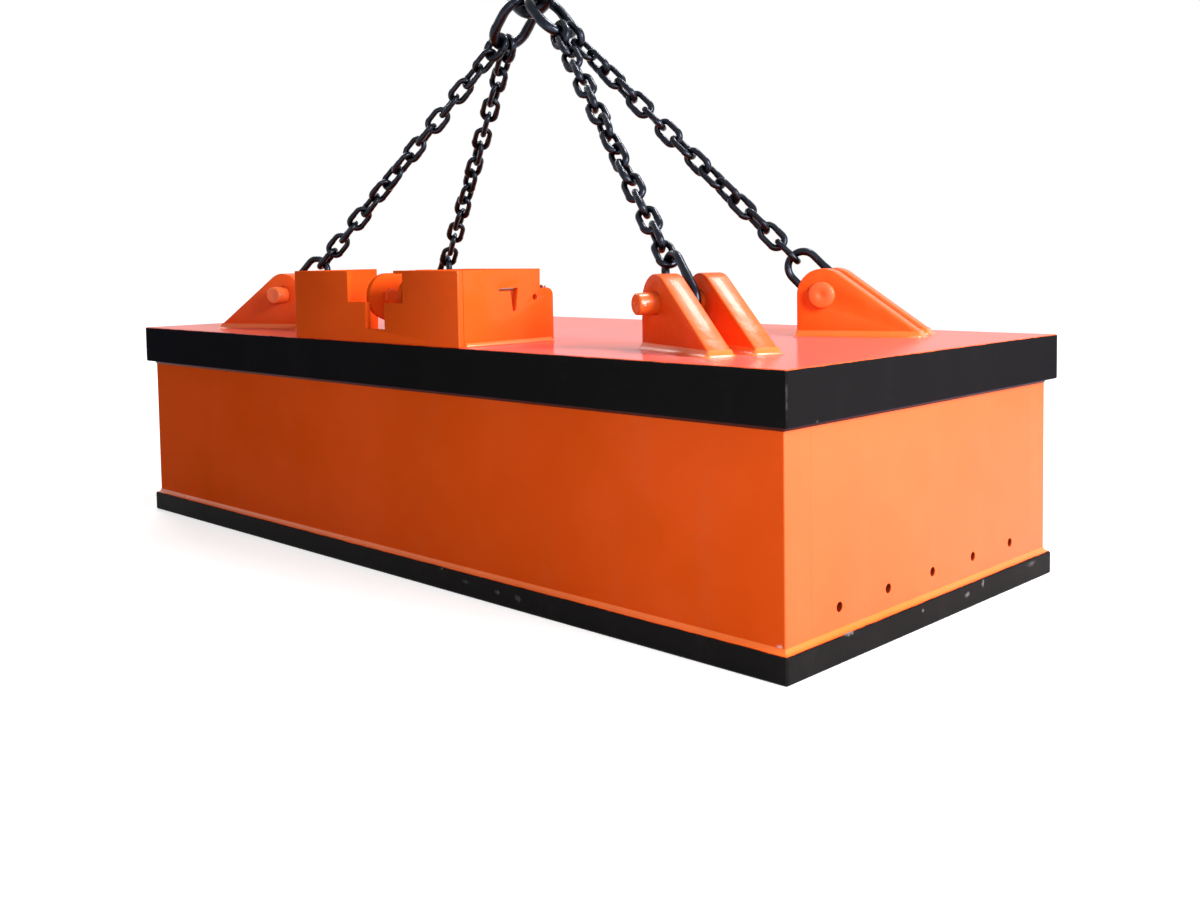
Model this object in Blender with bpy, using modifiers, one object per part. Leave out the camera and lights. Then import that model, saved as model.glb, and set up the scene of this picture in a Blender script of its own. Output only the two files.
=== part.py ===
"""Rectangular lifting electromagnet with four pinned lugs and a four-leg chain sling.

Metres, +Z up. The origin is the middle of the pole face, which is the flat face that the
magnet stands on. +X runs along the magnet, and -Y is the side that carries the terminal box.
"""
from math import atan2, cos, pi, radians, sin, sqrt, tan

import bmesh
import bpy
from mathutils import Matrix, Vector

# Clearances
SEAT = 0.0003           # gap between two pieces that touch
SLIP = 0.0006           # radial gap of a bolt or a pin in its bore

# Magnet body
BODY_LENGTH = 2.520
BODY_WIDTH = 1.086
BODY_HEIGHT = 0.600     # pole face to top of yoke plate
WALL = 0.085            # outer pole walls
YOKE_THICKNESS = 0.110
YOKE_OVERHANG = 0.023   # yoke plate past the walls, all round
YOKE_EDGE = 0.003
RIM_HEIGHT = 0.057
RIM_OVERHANG = 0.0135   # pole rim past the walls, all round
RIM_EDGE = 0.004
WALL_EDGE = 0.003

# Holes in the end walls
END_HOLE_COUNT = 5
END_HOLE_PITCH = 0.181
END_HOLE_HEIGHT = 0.110
END_HOLE_DIAMETER = 0.022
END_HOLE_DEPTH = 0.045

# Magnetic circuit inside the walls
CORE_WIDTH = 0.320
CORE_END_EXTRA = 0.027  # more room for the winding at the end walls than at the side walls
SHOE_LIP = 0.050        # pole shoe past the core, all round
BOTTOM_PLATE_THICKNESS = 0.025
COIL_CLEARANCE = 0.0234     # winding to the side walls
COIL_GROOVE = 0.004     # groove between the winding's layers
COIL_LAYERS = 2
FORMER_WALL = 0.012
FORMER_FLANGE = 0.010
LEAD_DIAMETER = 0.016
LEAD_SPACING = 0.070
LEAD_INSET = 0.0331     # leads from the winding's outside
LEAD_HOLE_DIAMETER = 0.024

# Bolts that hold the pole shoe to the core
SHOE_BOLT_ROWS = 2
SHOE_BOLTS_PER_ROW = 3
SHOE_BOLT_END_INSET = 0.210     # first bolt from the core's end
SHOE_BOLT_SIDE_INSET = 0.070    # bolt rows from the core's sides
SHOE_BOLT_DIAMETER = 0.030
SHOE_BOLT_HEAD = 0.045
SHOE_BOLT_HEAD_HEIGHT = 0.030
SHOE_BOLT_LENGTH = 0.100    # under the head
SHOE_BOLT_RECESS = 0.006    # head below the pole face
SHOE_BOLT_SOCKET = 0.022    # across corners of the key socket
SHOE_BOLT_SOCKET_DEPTH = 0.015

# Lifting lugs: a pair of ears and a pin near each corner
PIN_END_SETBACK = 0.454     # pin from the end wall's face
PIN_SIDE_SETBACK = 0.262    # pin from the side wall's face
PIN_HEIGHT = 0.105      # pin above the yoke plate
PIN_DIAMETER = 0.050
PIN_HEAD_DIAMETER = 0.066
PIN_HEAD_LENGTH = 0.016
PIN_TAIL = 0.047        # past the outer ear
PIN_CHAMFER = 0.003
EAR_THICKNESS = 0.057
EAR_GAP = 0.057
EAR_CROWN = 0.066       # ear's radius round the pin
EAR_SLOPE = radians(36.0)
EAR_NOSE = 0.012        # upright step at the tip
EAR_ARC_STEPS = 8
ROLL_PIN_DIAMETER = 0.008
ROLL_PIN_BORE = 0.004
ROLL_PIN_SETBACK = 0.011    # hole from the tail's end
ROLL_PIN_PROUD = 0.0015     # past the tail's surface, at each end

# Chain sling
END_LINK_WIRE = 0.020
END_LINK_INNER_LENGTH = 0.155
END_LINK_INNER_WIDTH = 0.060
CHAIN_WIRE = 0.016
CHAIN_PITCH = 0.0575    # step from link to link
CHAIN_INNER_WIDTH = 0.025
CHAIN_BITE = 0.0005     # how deep the links of one leg bed into each other
LINKS_PER_LEG = 15      # odd, so that both ends of a leg lie the same way
TOP_LINK_WIRE = 0.020   # larger link on top of each leg
TOP_LINK_INNER_LENGTH = 0.050
TOP_LINK_INNER_WIDTH = 0.034
JOINING_WIRE = 0.028    # joining links, one for each pair of legs
JOINING_INNER_LENGTH = 0.130
JOINING_INNER_WIDTH = 0.085
MASTER_WIRE = 0.036
MASTER_INNER_LENGTH = 0.270
MASTER_INNER_WIDTH = 0.140

# Guard round the terminal box, on the front edge of the yoke plate
GUARD_LEFT = -0.372
GUARD_RIGHT = 0.337
GUARD_HEIGHT = 0.183
GUARD_PLATE = 0.016
GUARD_DEPTH = 0.264
NOTCH_HALF_WIDTH = 0.118
NOTCH_SILL = 0.102      # bottom of the wide part above the yoke plate
SLOT_HALF_WIDTH = 0.040
SLOT_SILL = 0.034       # bottom of the narrow part above the yoke plate
STEP_DEPTH = 0.044      # lower tail of the right-hand end plate
STEP_HEIGHT = 0.134
STEP_CORNER = 0.018
KEY_SLOT_BACK = 0.190   # T-shaped slot, its far end from the front of the guard
KEY_SLOT_LENGTH = 0.062
KEY_SLOT_TOP = 0.137
KEY_SLOT_HEIGHT = 0.007
KEY_STEM_WIDTH = 0.026
KEY_STEM_FOOT = 0.009
KEY_STEM_BOTTOM = 0.080
SIGHT_HOLE_BACK = 0.246
SIGHT_HOLE_HEIGHT = 0.112
SIGHT_HOLE_DIAMETER = 0.016

# Terminal box behind the guard
BOX_LEFT = 0.132
BOX_FRONT_GAP = 0.005   # behind the guard's front plate
BOX_WALL = 0.006
BOX_FLOOR = 0.006
BOX_RIM = 0.022         # width of the face that the cover is bolted to
COVER_THICKNESS = 0.008
COVER_BOLT_DIAMETER = 0.010
COVER_BOLT_HEAD = 0.019     # across corners
COVER_BOLT_HEAD_HEIGHT = 0.007
COVER_BOLT_LENGTH = 0.026
BOARD_LENGTH = 0.150
BOARD_WIDTH = 0.120
BOARD_THICKNESS = 0.020
STUD_DIAMETER = 0.016
STUD_NUT = 0.028
STUD_NUT_HEIGHT = 0.013
STUD_HEIGHT = 0.045     # above the board

# Cable gland in the box's left wall
GLAND_FRONT = 0.071     # gland from the front edge of the yoke plate
GLAND_HEIGHT = 0.038
GLAND_BORE = 0.034
GLAND_THREAD = 0.044
GLAND_FLANGE = 0.056
GLAND_FLANGE_LENGTH = 0.010
GLAND_CAP_LENGTH = 0.026
GLAND_TAIL = 0.008

# Cable hanger: two cheeks and a bolt behind the notch
CHEEK_SPACING = 0.136   # middle to middle
CHEEK_PLATE = 0.016
CHEEK_CROWN = 0.060
CHEEK_BOLT_BACK = 0.088     # bolt from the front edge of the yoke plate
CHEEK_BOLT_HEIGHT = 0.115
CHEEK_BACK = 0.262      # back edge from the front edge of the yoke plate
CHEEK_FOOT = 0.190      # where the underside meets the yoke plate
CHEEK_BOLT_DIAMETER = 0.024
CHEEK_BOLT_HEAD = 0.041
CHEEK_BOLT_HEAD_HEIGHT = 0.015
CHEEK_NUT_HEIGHT = 0.019
CHEEK_BOLT_TAIL = 0.012
CHEEK_ARC_STEPS = 8

# Facets
TURN_STEPS = 16
SMALL_STEPS = 10
HOLE_STEPS = 8          # drilled holes that only hold a fastener
CHAIN_SIDES = 6
CHAIN_STEPS = 3         # for each end of a link
RING_STEPS = 6
BOW_SIDES = 8
BOW_STEPS = 8           # two pieces hang on a bow, one step from its middle to each side

# Worked out from the sizes above
YOKE_TOP = BODY_HEIGHT
YOKE_BOTTOM = BODY_HEIGHT - YOKE_THICKNESS
YOKE_FRONT = -(BODY_WIDTH / 2 + YOKE_OVERHANG)
CAVITY_LENGTH = BODY_LENGTH - 2 * WALL
CAVITY_WIDTH = BODY_WIDTH - 2 * WALL
CORE_SIDE_ROOM = (CAVITY_WIDTH - CORE_WIDTH) / 2
CORE_LENGTH = CAVITY_LENGTH - 2 * (CORE_SIDE_ROOM + CORE_END_EXTRA)
SHOE_LENGTH = CORE_LENGTH + 2 * SHOE_LIP
SHOE_WIDTH = CORE_WIDTH + 2 * SHOE_LIP
COIL_BUILD = CORE_SIDE_ROOM - FORMER_WALL - COIL_CLEARANCE - 2 * SEAT
PIN_OUT = BODY_LENGTH / 2 - PIN_END_SETBACK
PIN_ASIDE = BODY_WIDTH / 2 - PIN_SIDE_SETBACK
DECK = YOKE_TOP + SEAT      # where pieces on the yoke plate stand
LID_BOTTOM = YOKE_TOP + CHEEK_BOLT_HEIGHT + CHEEK_CROWN + SEAT
LID_LEFT = (CHEEK_SPACING - CHEEK_PLATE) / 2
FORMER_BOTTOM = RIM_HEIGHT + SEAT
FORMER_TOP = YOKE_BOTTOM - SEAT
COIL_BOTTOM = FORMER_BOTTOM + FORMER_FLANGE + SEAT
COIL_TOP = FORMER_TOP - FORMER_FLANGE - SEAT
PIN_LEVEL = YOKE_TOP + PIN_HEIGHT
BOX_RIGHT = GUARD_RIGHT - GUARD_PLATE - SEAT
BOX_FRONT = YOKE_FRONT + GUARD_PLATE + BOX_FRONT_GAP
BOX_BACK = YOKE_FRONT + GUARD_DEPTH + STEP_DEPTH
BOX_TOP = YOKE_TOP + STEP_HEIGHT - COVER_THICKNESS - SEAT
LEAD_X = (BOX_LEFT + BOX_RIGHT) / 2
LEAD_XS = {"left": LEAD_X - LEAD_SPACING / 2, "right": LEAD_X + LEAD_SPACING / 2}
LEAD_Y = LEAD_INSET + COIL_CLEARANCE - CAVITY_WIDTH / 2

ORANGE = ("orange_enamel", (0.80, 0.145, 0.022), 0.28, 0.0)
BLACK = ("black_enamel", (0.012, 0.012, 0.013), 0.42, 0.0)
POLE_STEEL = ("ground_steel", (0.30, 0.29, 0.28), 0.45, 1.0)
DARK_STEEL = ("blackened_steel", (0.025, 0.025, 0.028), 0.38, 0.9)
MANGANESE = ("manganese_steel", (0.22, 0.21, 0.20), 0.55, 1.0)
CASTING = ("mild_steel", (0.18, 0.17, 0.16), 0.60, 1.0)
COPPER = ("coil_copper", (0.72, 0.30, 0.16), 0.35, 1.0)
GLASS_BOARD = ("insulation_board", (0.42, 0.36, 0.16), 0.55, 0.0)
SLEEVING = ("lead_sleeving", (0.30, 0.03, 0.02), 0.50, 0.0)
ZINC = ("zinc_plate", (0.55, 0.54, 0.50), 0.35, 1.0)
BRASS = ("brass", (0.72, 0.52, 0.22), 0.30, 1.0)

CORNERS = (
    ("right_rear", 1, 1),
    ("right_front", 1, -1),
    ("left_front", -1, -1),
    ("left_rear", -1, 1),
)

parts = bpy.data.collections.new("lifting_electromagnet")
cutters = bpy.data.collections.new("cutters")


def clear_scene():
    """Remove every object that the file opened with, and add the two collections."""
    for obj in list(bpy.data.objects):
        bpy.data.objects.remove(obj, do_unlink=True)
    bpy.context.scene.collection.children.link(parts)
    bpy.context.scene.collection.children.link(cutters)


def finish_piece(obj, finish):
    """Give a piece its own material and put it in the part's collection."""
    label, colour, roughness, metallic = finish
    material = bpy.data.materials.new(f"{obj.name}_{label}")
    material.use_nodes = True
    shader = material.node_tree.nodes["Principled BSDF"]
    shader.inputs["Base Color"].default_value = (*colour, 1.0)
    shader.inputs["Roughness"].default_value = roughness
    shader.inputs["Metallic"].default_value = metallic
    obj.data.materials.clear()
    obj.data.materials.append(material)
    parts.objects.link(obj)
    return obj


def mesh_object(name, bm, smooth=False):
    """Turn a bmesh into an object that is not yet in a collection."""
    mesh = bpy.data.meshes.new(name)
    bm.to_mesh(mesh)
    bm.free()
    if smooth:
        mesh.shade_smooth()
        mesh.set_sharp_from_angle(angle=radians(40))
    return bpy.data.objects.new(name, mesh)


def box_object(name, low, high):
    """A box between two corners."""
    bm = bmesh.new()
    bmesh.ops.create_cube(bm, size=1.0)
    size = Vector(high) - Vector(low)
    middle = (Vector(high) + Vector(low)) / 2
    stretch = Matrix.Diagonal((*size, 1.0))
    bmesh.ops.transform(bm, matrix=Matrix.Translation(middle) @ stretch, verts=bm.verts)
    return mesh_object(name, bm)


def bevel(obj, width, segments=1):
    """Round the sharp edges of a piece."""
    modifier = obj.modifiers.new("edges", "BEVEL")
    modifier.width = width
    modifier.segments = segments
    modifier.limit_method = "ANGLE"
    modifier.angle_limit = radians(40)
    return obj


def box_piece(name, low, high, finish, edge=0.0):
    """A box-shaped piece, with its edges broken where a width is given."""
    obj = box_object(name, low, high)
    if edge:
        bevel(obj, edge)
    return finish_piece(obj, finish)


def hide_cutter(obj):
    """Keep a cutter out of the part."""
    obj.hide_render = True
    obj.display_type = "WIRE"
    cutters.objects.link(obj)
    return obj


def combine(target, tool, operation="DIFFERENCE"):
    """Cut one object with another, or join them."""
    modifier = target.modifiers.new(f"{operation.lower()}_{tool.name}", "BOOLEAN")
    modifier.operation = operation
    modifier.solver = "EXACT"
    modifier.object = tool


def cylinder_cutter(name, diameter, length, matrix, steps=SMALL_STEPS):
    """A cylinder about its own Z axis, centred on the matrix."""
    bm = bmesh.new()
    bmesh.ops.create_cone(
        bm, cap_ends=True, segments=steps, radius1=diameter / 2, radius2=diameter / 2, depth=length)
    obj = mesh_object(name, bm)
    obj.matrix_world = matrix
    return hide_cutter(obj)


def cylinders_cutter(name, diameter, length, matrices, steps=SMALL_STEPS):
    """Several equal cylinders in one cutter."""
    bm = bmesh.new()
    for matrix in matrices:
        bmesh.ops.create_cone(
            bm, cap_ends=True, segments=steps, radius1=diameter / 2, radius2=diameter / 2,
            depth=length, matrix=matrix)
    return hide_cutter(mesh_object(name, bm))


def turned_mesh(name, profile, steps):
    """A solid of revolution about Z, from (radius, height) points down its outer side.

    A profile that ends where it starts makes a ring.
    """
    bm = bmesh.new()
    ring = profile[0] == profile[-1]
    points = [bm.verts.new((radius, 0.0, height)) for radius, height in profile[:-1]]
    points.append(points[0] if ring else bm.verts.new((profile[-1][0], 0.0, profile[-1][1])))
    for first, second in zip(points, points[1:]):
        bm.edges.new((first, second))
    obj = mesh_object(name, bm)
    screw = obj.modifiers.new("turn", "SCREW")
    screw.axis = "Z"
    screw.angle = 2 * pi
    screw.steps = steps
    screw.render_steps = steps
    screw.use_merge_vertices = True
    screw.merge_threshold = 0.00001
    return obj


def curve_to_mesh(name, curve):
    """A clean mesh of a curve, which is then removed."""
    source = bpy.data.objects.new(f"{name}_curve", curve)
    bpy.context.scene.collection.objects.link(source)
    graph = bpy.context.evaluated_depsgraph_get()
    mesh = bpy.data.meshes.new_from_object(source.evaluated_get(graph))
    bpy.data.objects.remove(source, do_unlink=True)
    bpy.data.curves.remove(curve)
    bm = bmesh.new()
    bm.from_mesh(mesh)
    bmesh.ops.remove_doubles(bm, verts=bm.verts, dist=0.00001)
    bmesh.ops.recalc_face_normals(bm, faces=bm.faces)
    bm.to_mesh(mesh)
    bm.free()
    mesh.name = name
    return mesh


def outline_mesh(name, outline, holes, thickness):
    """A flat plate in local XY, centred on local Z, from an outline and its holes."""
    curve = bpy.data.curves.new(name, "CURVE")
    curve.dimensions = "2D"
    curve.fill_mode = "BOTH"
    curve.extrude = thickness / 2
    for loop in (outline, *holes):
        spline = curve.splines.new("POLY")
        spline.points.add(len(loop) - 1)
        for point, (x, y) in zip(spline.points, loop):
            point.co = (x, y, 0.0, 1.0)
        spline.use_cyclic_u = True
    return bpy.data.objects.new(name, curve_to_mesh(name, curve))


def arc(centre, radius, start, end, steps):
    """Points on an arc, both ends included, with angles in radians."""
    turn = (end - start) / steps
    return [
        (centre[0] + radius * cos(start + turn * i), centre[1] + radius * sin(start + turn * i))
        for i in range(steps + 1)
    ]


def bore(diameter, steps):
    """Diameter of a faceted hole whose flats clear a round piece."""
    return (diameter + 2 * SLIP) / cos(pi / steps)


def circle(centre, diameter, steps):
    """Points round a circle."""
    return arc(centre, diameter / 2, 0.0, 2 * pi, steps)[:-1]


def frame_of(origin, x_axis, y_axis):
    """A matrix with the given origin and two right-angled axes."""
    z_axis = x_axis.cross(y_axis)
    matrix = Matrix((x_axis, y_axis, z_axis)).transposed().to_4x4()
    matrix.translation = origin
    return matrix


def upright(origin):
    """A frame that is only moved."""
    return Matrix.Translation(origin)


def bolts_mesh(name, frames, shank, length, head, head_height, sides=6):
    """Bolts with a head above local Z 0 and a shank below it, one for each frame."""
    bm = bmesh.new()
    for frame in frames:
        top = frame @ Matrix.Translation((0, 0, head_height / 2))
        bmesh.ops.create_cone(
            bm, cap_ends=True, segments=sides, radius1=head / 2, radius2=head / 2,
            depth=head_height, matrix=top)
    heads = mesh_object(name, bm)
    bm = bmesh.new()
    overlap = head_height / 2
    for frame in frames:
        middle = frame @ Matrix.Translation((0, 0, (overlap - length) / 2))
        bmesh.ops.create_cone(
            bm, cap_ends=True, segments=SMALL_STEPS, radius1=shank / 2, radius2=shank / 2,
            depth=length + overlap, matrix=middle)
    combine(heads, hide_cutter(mesh_object(f"{name}_shanks", bm)), "UNION")
    return heads


def build_body():
    """Yoke plate, outer pole walls and pole rim."""
    half_length = BODY_LENGTH / 2
    half_width = BODY_WIDTH / 2
    yoke = box_piece(
        "yoke_plate",
        (-half_length - YOKE_OVERHANG, -half_width - YOKE_OVERHANG, YOKE_BOTTOM),
        (half_length + YOKE_OVERHANG, half_width + YOKE_OVERHANG, YOKE_TOP),
        ORANGE, YOKE_EDGE)
    lead_holes = [upright((x, LEAD_Y, YOKE_TOP)) for x in LEAD_XS.values()]
    combine(yoke, cylinders_cutter("yoke_lead_holes", LEAD_HOLE_DIAMETER, 3 * YOKE_THICKNESS, lead_holes))

    low = RIM_HEIGHT + SEAT
    high = YOKE_BOTTOM - SEAT
    corner = half_length - WALL_EDGE
    outer_edge = -half_width + WALL_EDGE
    inner_face = -half_width + WALL
    wall_outline = [
        *arc((-corner, outer_edge), WALL_EDGE, pi, 3 * pi / 2, 3),
        *arc((corner, outer_edge), WALL_EDGE, -pi / 2, 0.0, 3),
        (half_length, inner_face), (-half_length, inner_face),
    ]
    for label, turned in (("front", 0.0), ("rear", pi)):
        wall = outline_mesh(f"case_wall_{label}", wall_outline, [], high - low)
        wall.location = (0.0, 0.0, (low + high) / 2)
        wall.rotation_euler = (0.0, 0.0, turned)
        finish_piece(wall, ORANGE)
    inner = half_width - WALL - SEAT
    turn = Matrix.Rotation(pi / 2, 4, "Y")
    for label, side in (("left", -1), ("right", 1)):
        edges = sorted((side * half_length, side * (half_length - WALL)))
        wall = box_piece(
            f"case_wall_{label}", (edges[0], -inner, low), (edges[1], inner, high), ORANGE)
        first = -(END_HOLE_COUNT - 1) / 2 * END_HOLE_PITCH
        holes = [
            Matrix.Translation((side * half_length, first + i * END_HOLE_PITCH, END_HOLE_HEIGHT)) @ turn
            for i in range(END_HOLE_COUNT)
        ]
        combine(wall, cylinders_cutter(
            f"end_holes_{label}", END_HOLE_DIAMETER, 2 * END_HOLE_DEPTH, holes, SMALL_STEPS))

    rim = outline_mesh(
        "pole_rim", rectangle(half_length + RIM_OVERHANG, half_width + RIM_OVERHANG),
        [rectangle(half_length - WALL, half_width - WALL)], RIM_HEIGHT)
    rim.location = (0.0, 0.0, RIM_HEIGHT / 2)
    bevel(rim, RIM_EDGE)
    finish_piece(rim, BLACK)


def rectangle(half_length, half_width):
    """A rectangle's outline, about the middle."""
    return [
        (-half_length, -half_width), (half_length, -half_width),
        (half_length, half_width), (-half_length, half_width),
    ]


def rounded_loop(half_length, half_width, radius, steps):
    """A rectangle's outline with round corners."""
    points = []
    for quarter, (sx, sy) in enumerate(((1, 1), (-1, 1), (-1, -1), (1, -1))):
        centre = (sx * (half_length - radius), sy * (half_width - radius))
        start = quarter * pi / 2
        points += arc(centre, radius, start, start + pi / 2, steps)
    return points


def build_magnet():
    """Core pole, pole shoe with its bolts, closing plate, winding and former."""
    core = box_piece(
        "core_pole", (-CORE_LENGTH / 2, -CORE_WIDTH / 2, RIM_HEIGHT + SEAT),
        (CORE_LENGTH / 2, CORE_WIDTH / 2, YOKE_BOTTOM - SEAT), CASTING)
    shoe = box_object(
        "pole_shoe", (-SHOE_LENGTH / 2, -SHOE_WIDTH / 2, 0.0),
        (SHOE_LENGTH / 2, SHOE_WIDTH / 2, RIM_HEIGHT))

    head_level = SHOE_BOLT_RECESS + SHOE_BOLT_HEAD_HEIGHT
    down = Matrix.Rotation(pi, 4, "X")
    first_x = SHOE_BOLT_END_INSET - CORE_LENGTH / 2
    first_y = SHOE_BOLT_SIDE_INSET - CORE_WIDTH / 2
    places = []
    for row in range(SHOE_BOLT_ROWS):
        y = first_y - row * 2 * first_y / (SHOE_BOLT_ROWS - 1)
        for i in range(SHOE_BOLTS_PER_ROW):
            x = first_x - i * 2 * first_x / (SHOE_BOLTS_PER_ROW - 1)
            places.append((x, y))
    reach = head_level + SHOE_BOLT_LENGTH + SLIP
    combine(shoe, cylinders_cutter(
        "shoe_counterbores", bore(SHOE_BOLT_HEAD, SMALL_STEPS), 2 * (head_level - SEAT),
        [upright((x, y, 0.0)) for x, y in places]))
    combine(core, cylinders_cutter(
        "core_bolt_holes", bore(SHOE_BOLT_DIAMETER, HOLE_STEPS), 2 * reach,
        [upright((x, y, 0.0)) for x, y in places], HOLE_STEPS))
    bolts = bolts_mesh(
        "shoe_bolts", [upright((x, y, head_level)) @ down for x, y in places],
        SHOE_BOLT_DIAMETER, SHOE_BOLT_LENGTH, SHOE_BOLT_HEAD, SHOE_BOLT_HEAD_HEIGHT, SMALL_STEPS)
    combine(shoe, hide_cutter(bolts), "UNION")
    combine(shoe, cylinders_cutter(
        "shoe_bolt_sockets", SHOE_BOLT_SOCKET, 2 * SHOE_BOLT_SOCKET_DEPTH,
        [upright((x, y, SHOE_BOLT_RECESS)) for x, y in places], 6))
    finish_piece(shoe, POLE_STEEL)

    plate_edge = 2 * RIM_EDGE
    plate = outline_mesh(
        "bottom_plate",
        rounded_loop(CAVITY_LENGTH / 2 - SEAT, CAVITY_WIDTH / 2 - SEAT, plate_edge, 2),
        [rectangle(SHOE_LENGTH / 2 + SEAT, SHOE_WIDTH / 2 + SEAT)], BOTTOM_PLATE_THICKNESS)
    plate.location = (0.0, 0.0, RIM_HEIGHT - BOTTOM_PLATE_THICKNESS / 2)
    finish_piece(plate, MANGANESE)

    build_winding()


def build_winding():
    """The former, the winding on it with its layers, and the two leads."""
    inner_length = CORE_LENGTH / 2 + SEAT
    inner_width = CORE_WIDTH / 2 + SEAT
    coil_in = FORMER_WALL + SEAT
    reach = coil_in + COIL_BUILD
    outer_loop = rounded_loop(inner_length + reach, inner_width + reach, reach - FORMER_WALL, 4)
    clear = rectangle(inner_length + reach + WALL, inner_width + reach + WALL)
    former = outline_mesh(
        "coil_former", outer_loop, [rectangle(inner_length, inner_width)], FORMER_TOP - FORMER_BOTTOM)
    former.location = (0.0, 0.0, (FORMER_TOP + FORMER_BOTTOM) / 2)
    winding_room = outline_mesh(
        "winding_room", clear,
        [rounded_loop(inner_length + FORMER_WALL, inner_width + FORMER_WALL, FORMER_WALL, 3)],
        FORMER_TOP - FORMER_BOTTOM - 2 * FORMER_FLANGE)
    winding_room.location = former.location
    combine(former, hide_cutter(winding_room))
    combine(former, cylinders_cutter(
        "former_lead_holes", LEAD_HOLE_DIAMETER, 4 * FORMER_FLANGE,
        [upright((x, LEAD_Y, FORMER_TOP)) for x in LEAD_XS.values()]))
    finish_piece(former, GLASS_BOARD)

    coil = outline_mesh(
        "coil", outer_loop,
        [rounded_loop(inner_length + coil_in, inner_width + coil_in, coil_in, 3)],
        COIL_TOP - COIL_BOTTOM)
    coil.location = (0.0, 0.0, (COIL_TOP + COIL_BOTTOM) / 2)
    layer = (COIL_TOP - COIL_BOTTOM) / COIL_LAYERS
    groove_in = reach - COIL_GROOVE
    for i in range(1, COIL_LAYERS):
        groove = outline_mesh(
            f"layer_groove_{i}", clear,
            [rounded_loop(
                inner_length + groove_in, inner_width + groove_in, groove_in - FORMER_WALL, 4)],
            COIL_GROOVE)
        groove.location = (0.0, 0.0, COIL_BOTTOM + i * layer)
        combine(coil, hide_cutter(groove))
    finish_piece(coil, COPPER)

    bottom = COIL_TOP + SEAT
    top = YOKE_TOP + BOX_FLOOR
    for label, x in LEAD_XS.items():
        bm = bmesh.new()
        bmesh.ops.create_cone(
            bm, cap_ends=True, segments=SMALL_STEPS, radius1=LEAD_DIAMETER / 2,
            radius2=LEAD_DIAMETER / 2, depth=top - bottom, matrix=upright((x, LEAD_Y, (top + bottom) / 2)))
        finish_piece(mesh_object(f"coil_lead_{label}", bm, smooth=True), SLEEVING)


def ear_outline():
    """An ear in (outward, height above the deck): upright back, round crown, slope, nose."""
    crown = arc((0.0, PIN_HEIGHT), EAR_CROWN, pi, pi / 2 - EAR_SLOPE, EAR_ARC_STEPS)
    run = (PIN_HEIGHT + EAR_CROWN * cos(EAR_SLOPE) - EAR_NOSE) / tan(EAR_SLOPE)
    tip = EAR_CROWN * sin(EAR_SLOPE) + run
    return [(-EAR_CROWN, SEAT), *crown, (tip, EAR_NOSE), (tip, SEAT)]


def pin_profile():
    """A pin from its head, up, to its tail, down, as (radius, height) points."""
    radius = PIN_DIAMETER / 2
    head = PIN_HEAD_DIAMETER / 2
    grip = 2 * EAR_THICKNESS + EAR_GAP
    top = grip / 2 + SEAT + PIN_HEAD_LENGTH
    under = grip / 2 + SEAT
    bottom = -grip / 2 - PIN_TAIL
    return [
        (0.0, top),
        (head - PIN_CHAMFER, top),
        (head, top - PIN_CHAMFER),
        (head, under),
        (radius, under),
        (radius, bottom + PIN_CHAMFER),
        (radius - PIN_CHAMFER, bottom),
        (0.0, bottom),
    ]


def bearing(first, second):
    """Distance between the middle lines of two rings that hook into each other.

    Each ring is its wire, its facets round the wire and its steps round a bend. The wire's
    corners face inward. Where an even number of steps puts a corner in the middle of a
    bend, that corner pushes them further in.
    """
    return sum(
        wire / 2 / (1.0 if steps % 2 else cos(pi / steps / 2)) for wire, _, steps in (first, second))


CHAIN_BAR = (CHAIN_WIRE, CHAIN_SIDES, CHAIN_STEPS)
END_BAR = (END_LINK_WIRE, CHAIN_SIDES, RING_STEPS)
TOP_BAR = (TOP_LINK_WIRE, CHAIN_SIDES, RING_STEPS)
JOINING_BAR = (JOINING_WIRE, BOW_SIDES, BOW_STEPS)
MASTER_BAR = (MASTER_WIRE, BOW_SIDES, BOW_STEPS)
CHAIN_SPAN = CHAIN_PITCH + bearing(CHAIN_BAR, CHAIN_BAR) - CHAIN_BITE   # between a link's two crowns


def end_link_start():
    """Distance from the pin's axis back to the end link's lower crown."""
    return -(PIN_DIAMETER + END_LINK_WIRE) / 2 / cos(pi / RING_STEPS / 2) - SEAT


def chain_start():
    """Distance from the pin's axis to the first link's lower crown."""
    top = end_link_start() + END_LINK_INNER_LENGTH + END_LINK_WIRE
    return top - bearing(END_BAR, CHAIN_BAR) - SEAT


def top_link_start():
    """Distance from the pin's axis to the top link's lower crown."""
    top = chain_start() + (LINKS_PER_LEG - 1) * CHAIN_PITCH + CHAIN_SPAN
    return top - bearing(CHAIN_BAR, TOP_BAR) + CHAIN_BITE


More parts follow.
